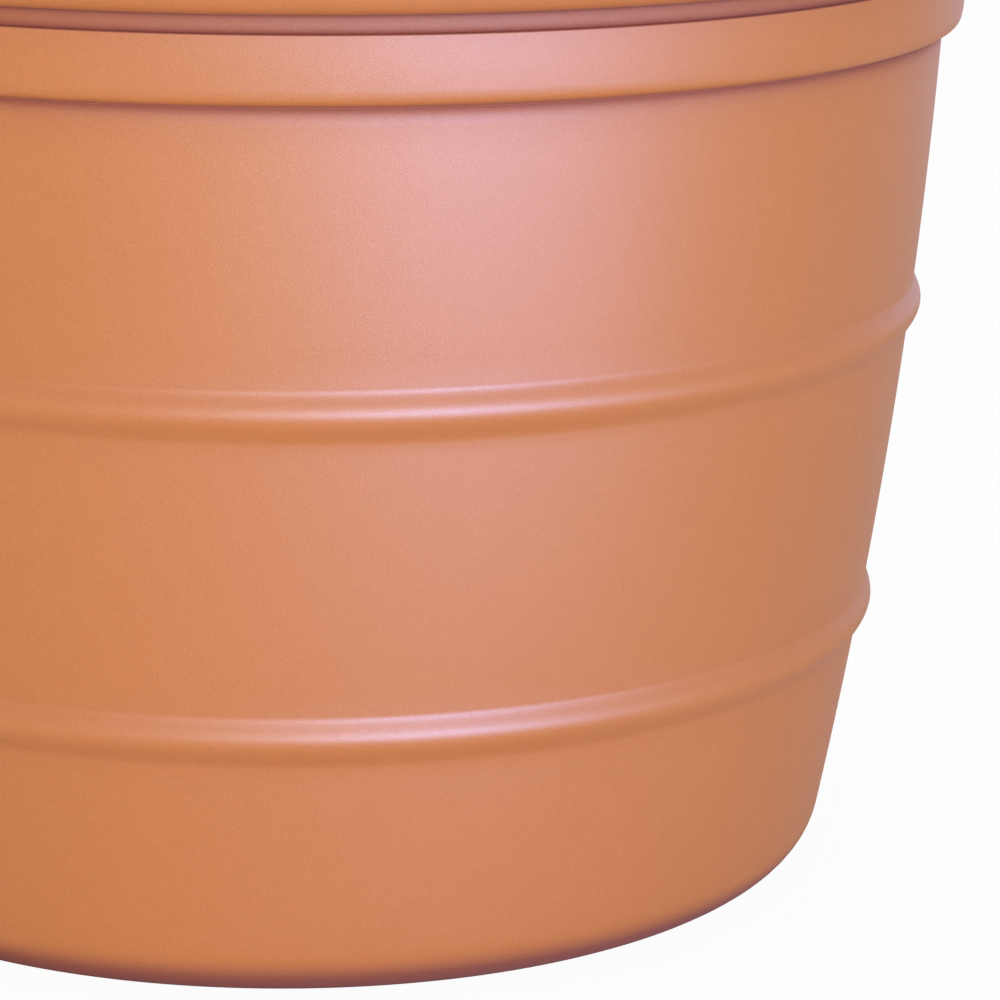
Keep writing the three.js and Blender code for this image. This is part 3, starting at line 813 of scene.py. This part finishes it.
def make_ball():
    piece = sphere("tap_ball_bored", BALL_R, segments=64)
    slot = levels("tap_stem")[0] - GAP
    cut(piece, block("slot", (0.0036, 0.024, 0.006), (0, 0, slot + 0.003)))
    cut(piece, swung(rod("port", WATERWAY_R - 0.001, -0.02, 0.02), 90, "X"))
    return smooth(at_ball(piece), 40)


def make_seat(node):
    low, high = tap.reach(node)
    seat = washer(node + "_ring", WATERWAY_R, tap.radius(node), low, high, 0.0004, 0.0006)
    cut(seat, sphere("hollow", BALL_R + GAP, (0, 0, BALL_X), 64))
    return smooth(tap.lay(seat), 40)


def make_stem():
    low, tip = levels("tap_stem")
    shoulder = levels("tap_lever")[0] - GAP
    foot = levels("tap_ball")[1] + GAP
    piece = turned("tap_stem_turned", rounded([
        (0, foot), (STEM_R, foot, 0.0004), (STEM_R, shoulder, 0.0004),
        (STEM_TOP_R, shoulder, 0.0002),
        *threaded(STEM_TOP_R, shoulder + 0.0034, tip - 0.0006, 0.0007, 0.0003),
        (STEM_TOP_R - 0.0005, tip, 0.0002), (0, tip)]), 48)
    root = foot + 0.001
    join(piece, block("tang", (0.003, 0.008, root - low), (0, 0, (low + root) / 2)))
    return smooth(at_ball(piece), 30)


def make_packing():
    low, high = levels("tap_stem_packing")
    return smooth(at_ball(washer(
        "tap_packing_ring", STEM_R + GAP, PACKING_R, low, high, 0.0005, 0.0008)), 40)


def make_gland_nut():
    low, high = levels("tap_gland_nut")
    seat = levels("tap_valve_body")[1] + GAP
    piece = hexagon("tap_gland_nut_turned", tap.radius("tap_gland_nut"), seat, high)
    join(piece, turned("neck", rounded([
        (0, low), (PACKING_R - 0.0004, low, 0.0003),
        *threaded(PACKING_R, low + 0.0004, seat, 0.001, 0.0004),
        (PACKING_R - 0.0004, seat + 0.001), (0, seat + 0.001)])))
    cut(piece, turned("stem_hole", [
        (0, low - SHAVE), (STEM_R + GAP, low - SHAVE), (STEM_R + GAP, high - 0.0006),
        (STEM_R + 0.0012, high + 0.0001), (0, high + 0.0001)]))
    return smooth(at_ball(piece), 30)


def blade(width_from, width_to, start, end):
    """Outline of the lever from its hub to its round end, pointing to +Y."""
    side = [(width_from / 2, start), (width_to / 2, end - width_to / 2)]
    tip = []
    for i in range(1, 12):
        angle = math.pi * i / 12
        tip.append((width_to / 2 * math.cos(angle), end - width_to / 2 * (1 - math.sin(angle))))
    return side + tip + [(-x, y) for x, y in reversed(side)]


def make_lever():
    low, high = levels("tap_lever")
    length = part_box("tap_lever")[1][0]
    piece = plate("tap_lever_pressed", blade(LEVER_ROOT_W, LEVER_W, 0, length), low, high)
    join(piece, rod("hub", LEVER_HUB_R, low, high))
    dent = plate("dent", blade(0.004, 0.007, 0.016, length - 0.008), high - 0.0007, high + 0.001)
    cut(piece, bevelled(dent, 0.0005, 2))
    cut(piece, rod("stem_hole", STEM_TOP_R + GAP, low - SHAVE, high + SHAVE, 40))
    return smooth(at_ball(bevelled(piece, 0.0005, 3)), 30)


def make_sleeve():
    """The dipped plastic grip on the lever's end."""
    low, high = levels("tap_lever")
    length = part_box("tap_lever")[1][0]
    width = LEVER_ROOT_W + (LEVER_W - LEVER_ROOT_W) * SLEEVE_SHARE
    start = length * SLEEVE_SHARE
    cap = plate("tap_lever_sleeve", blade(width + 2 * SLEEVE_T, LEVER_W, start, length),
                low - SLEEVE_T, high + SLEEVE_T)
    bevelled(cap, 0.0012, 4)
    for i in range(6):
        y = start + 0.006 + 0.0042 * i
        groove = block("groove", (0.0095, 0.0013, 0.002), (0, y, high + SLEEVE_T + 0.0004))
        cut(cap, bevelled(groove, 0.0004, 2))
    play = 0.0001
    room = blade(width - 2 * play, LEVER_W - 2 * (SLEEVE_T + play), start - 0.01,
                 length - SLEEVE_T - play)
    cut(cap, plate("room", room, low - play, high + play))
    return smooth(at_ball(cap), 30)


def make_lever_nut():
    low, high = levels("tap_lever_nut")
    piece = hexagon("tap_lever_nut_turned", tap.radius("tap_lever_nut"), low, high, 0.14)
    ridges = threaded(STEM_TOP_R + 0.0005, low + 0.0003, high - 0.0003, 0.0007, 0.0002)
    cut(piece, turned("thread", [
        (0, low - SHAVE), (STEM_TOP_R + GAP, low - SHAVE), *ridges,
        (STEM_TOP_R + GAP, high + SHAVE), (0, high + SHAVE)], 48))
    return smooth(at_ball(piece), 30)


def make_nipple():
    start, end = link.reach("link_nipple")
    flange = link.reach("link_gasket")[1] + GAP
    piece = turned("link_nipple_turned", rounded([
        (0, start), (TAIL_R - 0.0008, start, 0.0005),
        *threaded(TAIL_R, start + 0.001, flange - 0.001),
        (TAIL_R - 0.0008, flange), (TAIL_R - 0.0008, flange + FLANGE_T + 0.001),
        *threaded(TAIL_R, flange + FLANGE_T + 0.0015, end - 0.0012, 0.0024, 0.001),
        (TAIL_R - 0.001, end, 0.0006), (0, end)]))
    join(piece, hexagon("hexagon", link.radius("link_nipple"), flange, flange + FLANGE_T))
    cut(piece, rod("bore", LINK_BORE_R, start - SHAVE, end + SHAVE))
    return smooth(link.lay(piece), 30)


def make_cap():
    start, end = link.reach("link_cap")
    floor = link.reach("link_cap_washer")[1] + GAP
    body = link.radius("link_cap") - 0.0012
    piece = turned("link_cap_moulded", rounded([
        (0, start), (body + 0.0008, start, 0.0006), (body + 0.0008, start + 0.002, 0.0006),
        (body, start + 0.003, 0.0006), (body, end, 0.002), (body * 0.72, end, 0.0008),
        (body * 0.68, end - 0.0008, 0.0008), (0, end - 0.0008)]))
    grip = block("grip", (0.0024, 0.0020, end - start - 0.0055),
                 (body, 0, (start + 0.003 + end - 0.0025) / 2))
    bevelled(grip, 0.0008, 3)
    for i in range(CAP_GRIPS):
        join(piece, swung(copied(grip, "rib"), 360 * i / CAP_GRIPS))
    bpy.data.objects.remove(grip)
    cut(piece, rod("room", TAIL_R + 0.0005, start - SHAVE, floor))
    return smooth(link.lay(piece), 32)


def make_barb():
    start, end = overflow.reach("overflow_barb")
    flange = overflow.reach("overflow_gasket")[1] + GAP
    flange_r = overflow.radius("overflow_barb")
    tube = OVERFLOW_R
    bore = OVERFLOW_BORE_R
    first = flange + FLANGE_T
    step = (end - first) / BARB_STEPS
    barbs = []
    for i in range(BARB_STEPS):
        low = first + i * step
        barbs.append((tube, low, 0.0006))
        barbs.append((tube + BARB_OUT, low + 0.0012, 0.0004))
    piece = turned("overflow_barb_moulded", rounded([
        (0, start), (tube - 0.0008, start, 0.0005),
        *threaded(tube, start + 0.001, flange - 0.001, 0.0024, 0.001),
        (tube - 0.001, flange), (flange_r, flange, 0.0008), (flange_r, first, 0.0014),
        *barbs, (tube - 0.0004, end, 0.0008), (0, end)]))
    cut(piece, turned("bore", [
        (0, start - SHAVE), (bore, start - SHAVE), (bore, end - 0.001),
        (bore + 0.0012, end + 0.0002), (0, end + 0.0002)]))
    for i in range(6):
        notch = block("notch", (0.003, 0.006, FLANGE_T + 0.002),
                      (flange_r + 0.0006, 0, flange + FLANGE_T / 2))
        cut(piece, swung(bevelled(notch, 0.0006, 2), 60 * i))
    return smooth(overflow.lay(piece), 32)


# ---- Finishes ----

class Board:
    """A node tree that nodes are laid out on."""

    def __init__(self, tree):
        self.tree = tree

    def link(self, given, taker):
        self.tree.links.new(given, taker)

    def add(self, kind, inputs=None, **settings):
        node = self.tree.nodes.new(kind)
        for key, value in settings.items():
            setattr(node, key, value)
        for key, value in (inputs or {}).items():
            if isinstance(value, bpy.types.NodeSocket):
                self.link(value, node.inputs[key])
            else:
                node.inputs[key].default_value = value
        return node

    def sums(self, operation, *values, clamp=False):
        inputs = dict(enumerate(values))
        return self.add("ShaderNodeMath", inputs, operation=operation, use_clamp=clamp).outputs[0]

    def span(self, value, low, high, to_low=0.0, to_high=1.0):
        inputs = {"Value": value, "From Min": low, "From Max": high,
                  "To Min": to_low, "To Max": to_high}
        return self.add("ShaderNodeMapRange", inputs).outputs["Result"]

    def blend(self, share, first, second):
        inputs = {0: share, 6: first, 7: second}
        return self.add("ShaderNodeMix", inputs, data_type="RGBA").outputs[2]

    def noise(self, place, scale, detail=2.0, roughness=0.5):
        inputs = {"Vector": place, "Scale": scale, "Detail": detail, "Roughness": roughness}
        return self.add("ShaderNodeTexNoise", inputs).outputs["Fac"]

    def group(self, tree, inputs):
        return self.add("ShaderNodeGroup", inputs, node_tree=tree).outputs

    def dress(self, shader, base, rough, strength, depth, height):
        """Gives a shader its colour, its roughness and a bump of a depth in metres."""
        inputs = {"Strength": strength, "Distance": depth, "Height": height}
        bump = self.add("ShaderNodeBump", inputs).outputs[0]
        self.link(base, shader.inputs["Base Color"])
        self.link(rough, shader.inputs["Roughness"])
        self.link(bump, shader.inputs["Normal"])


def new_effect(name, inputs, outputs):
    """An empty node group, its board, the sockets it takes and the sockets that it gives out."""
    tree = bpy.data.node_groups.new(name, "ShaderNodeTree")
    for label, value in inputs.items():
        kind = "NodeSocketVector" if value is None else "NodeSocketFloat"
        socket = tree.interface.new_socket(label, in_out="INPUT", socket_type=kind)
        if value is not None:
            socket.default_value = value
    for label in outputs:
        tree.interface.new_socket(label, in_out="OUTPUT", socket_type="NodeSocketFloat")
    board = Board(tree)
    taken = board.add("NodeGroupInput").outputs
    given = board.add("NodeGroupOutput").inputs
    return tree, board, taken, given


def make_grain():
    """Fine moulded grain: a soft tone, pale flecks and a height."""
    tree, board, taken, given = new_effect(
        "Moulded grain", {"Vector": None, "Grain": 1200.0, "Flecks": 0.5},
        ("Tone", "Fleck", "Height"))
    place = taken["Vector"]
    fine = board.noise(place, taken["Grain"], 1.0, 0.5)
    coarse_scale = board.sums("MULTIPLY", taken["Grain"], 0.3)
    coarse = board.noise(place, coarse_scale, 2.0, 0.5)
    fine_share = board.sums("MULTIPLY", fine, 0.7)
    tone = board.sums("ADD", fine_share, board.sums("MULTIPLY", coarse, 0.3))
    fleck_scale = board.sums("MULTIPLY", taken["Grain"], 1.45)
    glitter = board.noise(place, fleck_scale, 0.0, 0.5)
    sharp = board.span(glitter, 0.60, 0.84)
    fleck = board.sums("MULTIPLY", sharp, taken["Flecks"], clamp=True)
    height = board.sums("ADD", fine, board.sums("MULTIPLY", fleck, 0.5))
    board.link(tone, given["Tone"])
    board.link(fleck, given["Fleck"])
    board.link(height, given["Height"])
    return tree


def make_cloud():
    """Slow, uneven patches, as pigment and handling leave them."""
    tree, board, taken, given = new_effect(
        "Cloudy patches", {"Vector": None, "Scale": 14.0, "Contrast": 1.0}, ("Mask",))
    broad = board.noise(taken["Vector"], taken["Scale"], 3.0, 0.55)
    centred = board.sums("SUBTRACT", broad, 0.5)
    mask = board.sums("ADD", board.sums("MULTIPLY", centred, taken["Contrast"]), 0.5, clamp=True)
    board.link(mask, given["Mask"])
    return tree


def make_dust():
    """Dust that settles on faces that look up, broken up by patches."""
    tree, board, taken, given = new_effect(
        "Settled dust", {"Vector": None, "Amount": 0.3, "Scale": 40.0}, ("Mask",))
    normal = board.add("ShaderNodeNewGeometry").outputs["Normal"]
    up = board.add("ShaderNodeSeparateXYZ", {"Vector": normal}).outputs["Z"]
    lying = board.span(up, 0.55, 1.0)
    patches = board.span(board.noise(taken["Vector"], taken["Scale"], 4.0, 0.6), 0.35, 0.7)
    laid = board.sums("MULTIPLY", lying, patches)
    mask = board.sums("MULTIPLY", laid, taken["Amount"], clamp=True)
    board.link(mask, given["Mask"])
    return tree


def make_crease_shade():
    """Painted shade in creases: a mask from ambient occlusion, strongest where the creases are
    deepest.
    """
    tree, board, taken, given = new_effect("Creases", {"Reach": 0.010, "Amount": 1.0}, ("Mask",))
    nearby = board.add("ShaderNodeAmbientOcclusion", {"Distance": taken["Reach"]}, samples=8)
    enclosed = board.span(nearby.outputs["AO"], 0.96, 0.50)
    mask = board.sums("MULTIPLY", enclosed, taken["Amount"], clamp=True)
    board.link(mask, given["Mask"])
    return tree


grain = make_grain()
# The crease mask paints shade into creases and recesses.
crease_shade = make_crease_shade()
cloud = make_cloud()
dust = make_dust()


def new_finish(name):
    """A material with its board, its shader and its place coordinates."""
    material = bpy.data.materials.new(name)
    material.use_nodes = True
    material.node_tree.nodes.clear()
    board = Board(material.node_tree)
    shader = board.add("ShaderNodeBsdfPrincipled")
    output = board.add("ShaderNodeOutputMaterial")
    board.link(shader.outputs[0], output.inputs["Surface"])
    place = board.add("ShaderNodeTexCoord").outputs["Object"]
    return material, board, shader, place


def colour(red, green, blue):
    return red, green, blue, 1.0


def terracotta():
    material, board, shader, place = new_finish("terracotta_plastic")
    specks = board.group(grain, {"Vector": place, "Grain": 1450.0, "Flecks": 0.9})
    patches = board.group(cloud, {"Vector": place, "Scale": 9.0, "Contrast": 1.6})["Mask"]
    small = board.group(cloud, {"Vector": place, "Scale": 85.0, "Contrast": 1.5})["Mask"]
    base = board.blend(patches, colour(0.640, 0.206, 0.036), colour(0.668, 0.220, 0.048))
    base = board.blend(board.span(small, 0.2, 0.8, 0.0, 0.30), base, colour(0.610, 0.190, 0.030))
    tone = board.span(specks["Tone"], 0.3, 0.7, 0.0, 1.0)
    base = board.blend(board.span(tone, 0.0, 1.0, 0.20, 0.0), base, colour(0.48, 0.13, 0.022))
    base = board.blend(board.sums("MULTIPLY", specks["Fleck"], 0.30), base, colour(0.86, 0.50, 0.33))
    laid = board.group(dust, {"Vector": place, "Amount": 0.16, "Scale": 60.0})["Mask"]
    base = board.blend(laid, base, colour(0.62, 0.52, 0.43))
    # Painted shade: the base colour darkens in creases and recesses, by how enclosed they are.
    creases = board.group(crease_shade, {"Reach": 0.022, "Amount": 0.95})["Mask"]
    base = board.blend(creases, base, colour(0.30, 0.055, 0.014))
    rough = board.span(tone, 0.0, 1.0, 0.50, 0.44)
    rough = board.sums("SUBTRACT", rough, board.sums("MULTIPLY", specks["Fleck"], 0.10))
    matt = board.sums("ADD", board.sums("MULTIPLY", laid, 0.5), board.sums("MULTIPLY", creases, 0.5))
    rough = board.sums("ADD", rough, matt, clamp=True)
    board.dress(shader, base, rough, 0.30, 0.00018, specks["Height"])
    shader.inputs["Specular IOR Level"].default_value = 0.9
    return material


def moulded(name, dark, light, rough, depth, grain_scale=1400.0):
    """A plain moulded plastic or rubber, with a cloudy tone, grain and dust."""
    material, board, shader, place = new_finish(name)
    specks = board.group(grain, {"Vector": place, "Grain": grain_scale, "Flecks": 0.5})
    patches = board.group(cloud, {"Vector": place, "Scale": 60.0, "Contrast": 1.6})["Mask"]
    base = board.blend(patches, colour(*dark), colour(*light))
    base = board.blend(board.sums("MULTIPLY", specks["Fleck"], 0.12), base, colour(*light))
    laid = board.group(dust, {"Vector": place, "Amount": 0.10, "Scale": 220.0})["Mask"]
    base = board.blend(laid, base, colour(0.30, 0.27, 0.24))
    # Painted shade: the base colour darkens in creases, by how enclosed they are.
    creases = board.group(crease_shade, {"Reach": 0.003, "Amount": 0.5})["Mask"]
    base = board.blend(creases, base, colour(*[0.4 * part for part in dark]))
    tone = board.span(specks["Tone"], 0.3, 0.7, rough + 0.06, rough - 0.05)
    rougher = board.sums("ADD", tone, board.sums("MULTIPLY", laid, 0.3), clamp=True)
    board.dress(shader, base, rougher, 0.4, depth, specks["Height"])
    return material


def metal(name, main, tarnish, rough, sand=0.0, wear=0.3):
    """A metal with fine scratches, tarnish and painted shade in its creases and, when it was cast, a
    sandy skin.
    """
    material, board, shader, place = new_finish(name)
    spread = board.group(cloud, {"Vector": place, "Scale": 70.0, "Contrast": 2.0})["Mask"]
    stretch = board.add("ShaderNodeMapping", {"Vector": place, "Scale": (1.0, 1.0, 9.0)})
    scratches = board.noise(stretch.outputs[0], 900.0, 2.0, 0.6)
    skin = board.noise(place, 1600.0, 2.0, 0.6)
    # Tarnish and painted shade: creases darken to a deep tarnish colour, by how enclosed they are.
    creases = board.group(crease_shade, {"Reach": 0.004, "Amount": 0.8})["Mask"]
    tarnished = board.sums("MULTIPLY", board.span(spread, 0.35, 0.8), wear)
    base = board.blend(tarnished, colour(*main), colour(*tarnish))
    base = board.blend(creases, base, colour(*[0.35 * part for part in tarnish]))
    tone = board.span(scratches, 0.3, 0.7, rough - 0.05, rough + 0.09)
    rougher = board.sums("ADD", tone, board.sums("MULTIPLY", spread, 0.10))
    rougher = board.sums("ADD", rougher, board.sums("MULTIPLY", creases, 0.3), clamp=True)
    sanded = board.sums("MULTIPLY", skin, sand)
    height = board.sums("ADD", sanded, board.sums("MULTIPLY", scratches, 0.3))
    board.dress(shader, base, rougher, 0.35, 0.0001, height)
    shader.inputs["Metallic"].default_value = 1.0
    return material


# Each finish and the material slot that it stands for.
terracotta_plastic = terracotta(), "terracotta_plastic"
black_plastic = moulded(
    "black_plastic", (0.012, 0.012, 0.013), (0.024, 0.023, 0.024), 0.42, 0.0001), "black_plastic"
sleeve_plastic = moulded(
    "sleeve_plastic", (0.36, 0.018, 0.012), (0.46, 0.030, 0.018), 0.38, 0.00005), "black_plastic"
seal_rubber = moulded(
    "seal_rubber", (0.014, 0.014, 0.014), (0.030, 0.029, 0.028), 0.72, 0.00015), "seal_rubber"
white_seal = moulded(
    "white_seal", (0.74, 0.72, 0.67), (0.84, 0.83, 0.80), 0.35, 0.00004, 1100.0), "white_seal"
cast_brass = metal(
    "cast_brass", (0.74, 0.50, 0.20), (0.42, 0.25, 0.09), 0.36, sand=1.0, wear=0.5), "brass"
brass = metal("machined_brass", (0.83, 0.60, 0.26), (0.52, 0.33, 0.12), 0.24), "brass"
steel = metal("zinc_plated_steel", (0.66, 0.67, 0.69), (0.42, 0.41, 0.40), 0.30), "steel"
chrome = metal("chrome_plate", (0.80, 0.81, 0.83), (0.66, 0.67, 0.70), 0.10, wear=0.15), "chrome"
stainless_wire = metal(
    "stainless_wire", (0.58, 0.59, 0.60), (0.40, 0.39, 0.37), 0.34, wear=0.5), "stainless_mesh"


# ---- Pieces on their bodies ----

def hand_over(piece, body, material_and_slot, *nodes):
    """Gives a finished piece its finish and its body, and hides the CAD nodes that it stands for."""
    material, slot = material_and_slot
    piece.data.materials.clear()
    piece.data.materials.append(material)
    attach(piece, body)
    if nodes:
        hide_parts(*nodes)


# ---- Camera, floor and light ----

CAMERA_AWAY = 1.983  # from the barrel's axis
CAMERA_Z = 0.6593
CAMERA_ROUND = 60.0  # degrees from the tap's side
CAMERA_DOWN = 14.1051
CAMERA_ASIDE = 2.8815
CAMERA_ROLL = 0.7191
LENS = 154.73
COOL = (0.31, 0.50, 1.0)  # tint of the soft boxes that only show as sheen


def set_camera():
    down = math.radians(CAMERA_DOWN)
    aside = math.radians(CAMERA_ASIDE)
    ahead = Vector((math.sin(aside) * math.cos(down), math.cos(aside) * math.cos(down),
                    -math.sin(down)))
    level = Vector((math.cos(aside), -math.sin(aside), 0))
    upright = level.cross(ahead)
    roll = math.radians(CAMERA_ROLL)
    right = math.cos(roll) * level + math.sin(roll) * upright
    up = math.cos(roll) * upright - math.sin(roll) * level
    turn = Matrix((right, up, -ahead)).transposed().to_4x4()
    place = Matrix.Translation((0, -CAMERA_AWAY, CAMERA_Z)) @ turn
    camera_data = bpy.data.cameras.new("camera")
    camera_data.lens = LENS
    camera_data.sensor_width = 36.0
    camera_data.clip_start = 0.05
    camera = bpy.data.objects.new("camera", camera_data)
    bpy.context.scene.collection.objects.link(camera)
    camera.matrix_world = Matrix.Rotation(math.radians(CAMERA_ROUND), 4, "Z") @ place
    bpy.context.scene.camera = camera


def set_floor():
    begin()
    bpy.ops.mesh.primitive_plane_add(size=60, location=(0, 0, -0.0002))
    floor = settle(named(bpy.context.object, "floor"))
    material, board, shader = new_finish("floor_white")[:3]
    shader.inputs["Base Color"].default_value = colour(0.80, 0.80, 0.81)
    shader.inputs["Roughness"].default_value = 0.9
    glow = board.add("ShaderNodeEmission", {"Color": colour(1, 1, 1), "Strength": 1.0})
    seen = board.add("ShaderNodeLightPath").outputs["Is Camera Ray"]
    share = board.sums("MULTIPLY", seen, 0.96)
    mix = board.add("ShaderNodeMixShader", {0: share, 1: shader.outputs[0], 2: glow.outputs[0]})
    output = board.tree.nodes["Material Output"]
    board.link(mix.outputs[0], output.inputs["Surface"])
    floor.data.materials.append(material)


def add_light(name, where, aim, size, power, tint):
    lamp = bpy.data.lights.new(name, "AREA")
    lamp.shape = "RECTANGLE"
    lamp.size, lamp.size_y = size
    lamp.energy = power
    lamp.color = tint
    light = bpy.data.objects.new(name, lamp)
    bpy.context.scene.collection.objects.link(light)
    light.location = where
    facing = Vector(aim) - Vector(where)
    light.rotation_euler = facing.to_track_quat("-Z", "Y").to_euler()
    return light


def round_about(degrees, away, height):
    """A place at an angle to the right of the camera, as seen from the barrel."""
    angle = math.radians(CAMERA_ROUND + degrees)
    return away * math.sin(angle), -away * math.cos(angle), height


def set_light():
    add_light("key", round_about(5, 2.6, 0.7), (0, 0, 0.3), (1.6, 1.0), 23.0, (1.0, 0.97, 0.96))
    sheens = (
        add_light("gleam", round_about(25, 2.6, 0.62), (0, 0, 0.3), (1.3, 0.4), 75.0, COOL),
        add_light("card", round_about(34, 1.25, 0.1), (0, 0, 0.35), (1.0, 0.5), 9.0, COOL),
        add_light("rim", round_about(140, 2.5, 0.5), (0, 0, 0.3), (1.5, 1.5), 9.0, COOL),
    )
    for sheen in sheens:
        sheen.visible_diffuse = False
    world = bpy.data.worlds.new("studio")
    bpy.context.scene.world = world
    world.use_nodes = True
    board = Board(world.node_tree)
    background = world.node_tree.nodes["Background"]
    seen = board.add("ShaderNodeLightPath").outputs["Is Camera Ray"]
    tint = board.blend(seen, colour(0.67, 0.665, 0.675), colour(1, 1, 1))
    board.link(tint, background.inputs["Color"])
    background.inputs["Strength"].default_value = 1.0
    bpy.context.scene.view_settings.view_transform = "Standard"


set_camera()
set_floor()
set_light()

# Piece, body, finish and the CAD node that it stands for.
PIECES = [
    (make_barrel(), "barrel", terracotta_plastic, "barrel_body"),
    (make_lid(), "lid", terracotta_plastic, "lid"),
    (make_basket(), "strainer", black_plastic, "strainer_frame"),
    (make_net(), "strainer", stainless_wire, "strainer_mesh"),
    (make_tailpiece(), "barrel", brass, "tap_tailpiece"),
    (make_valve_body(), "barrel", cast_brass, "tap_valve_body"),
    (make_ball(), "tap_handle", chrome, "tap_ball"),
    (make_seat("tap_inlet_seat"), "barrel", white_seal, "tap_inlet_seat"),
    (make_seat("tap_outlet_seat"), "barrel", white_seal, "tap_outlet_seat"),
    (make_stem(), "tap_handle", brass, "tap_stem"),
    (make_packing(), "barrel", white_seal, "tap_stem_packing"),
    (make_gland_nut(), "barrel", brass, "tap_gland_nut"),
    (make_lever(), "tap_handle", steel, "tap_lever"),
    (make_lever_nut(), "tap_handle", steel, "tap_lever_nut"),
    (make_nipple(), "barrel", black_plastic, "link_nipple"),
    (make_cap(), "link_cap", black_plastic, "link_cap"),
    (make_barb(), "barrel", black_plastic, "overflow_barb"),
    (make_sleeve(), "tap_handle", sleeve_plastic),
]
for port, node in ((tap, "tap_outer_gasket"), (tap, "tap_inner_gasket"), (link, "link_gasket"),
                   (overflow, "overflow_gasket")):
    gasket = make_ring(port, node, port.bore + GAP)
    PIECES.append((gasket, "barrel", seal_rubber, node))
cap_washer = make_ring(link, "link_cap_washer", LINK_BORE_R)
PIECES.append((cap_washer, "link_cap", seal_rubber, "link_cap_washer"))
for port, node, coat in (
        (tap, "tap_lock_nut", brass),
        (link, "link_lock_nut", black_plastic),
        (overflow, "overflow_lock_nut", black_plastic)):
    PIECES.append((make_lock_nut(port, node), "barrel", coat, node))
for piece in PIECES:
    hand_over(*piece)
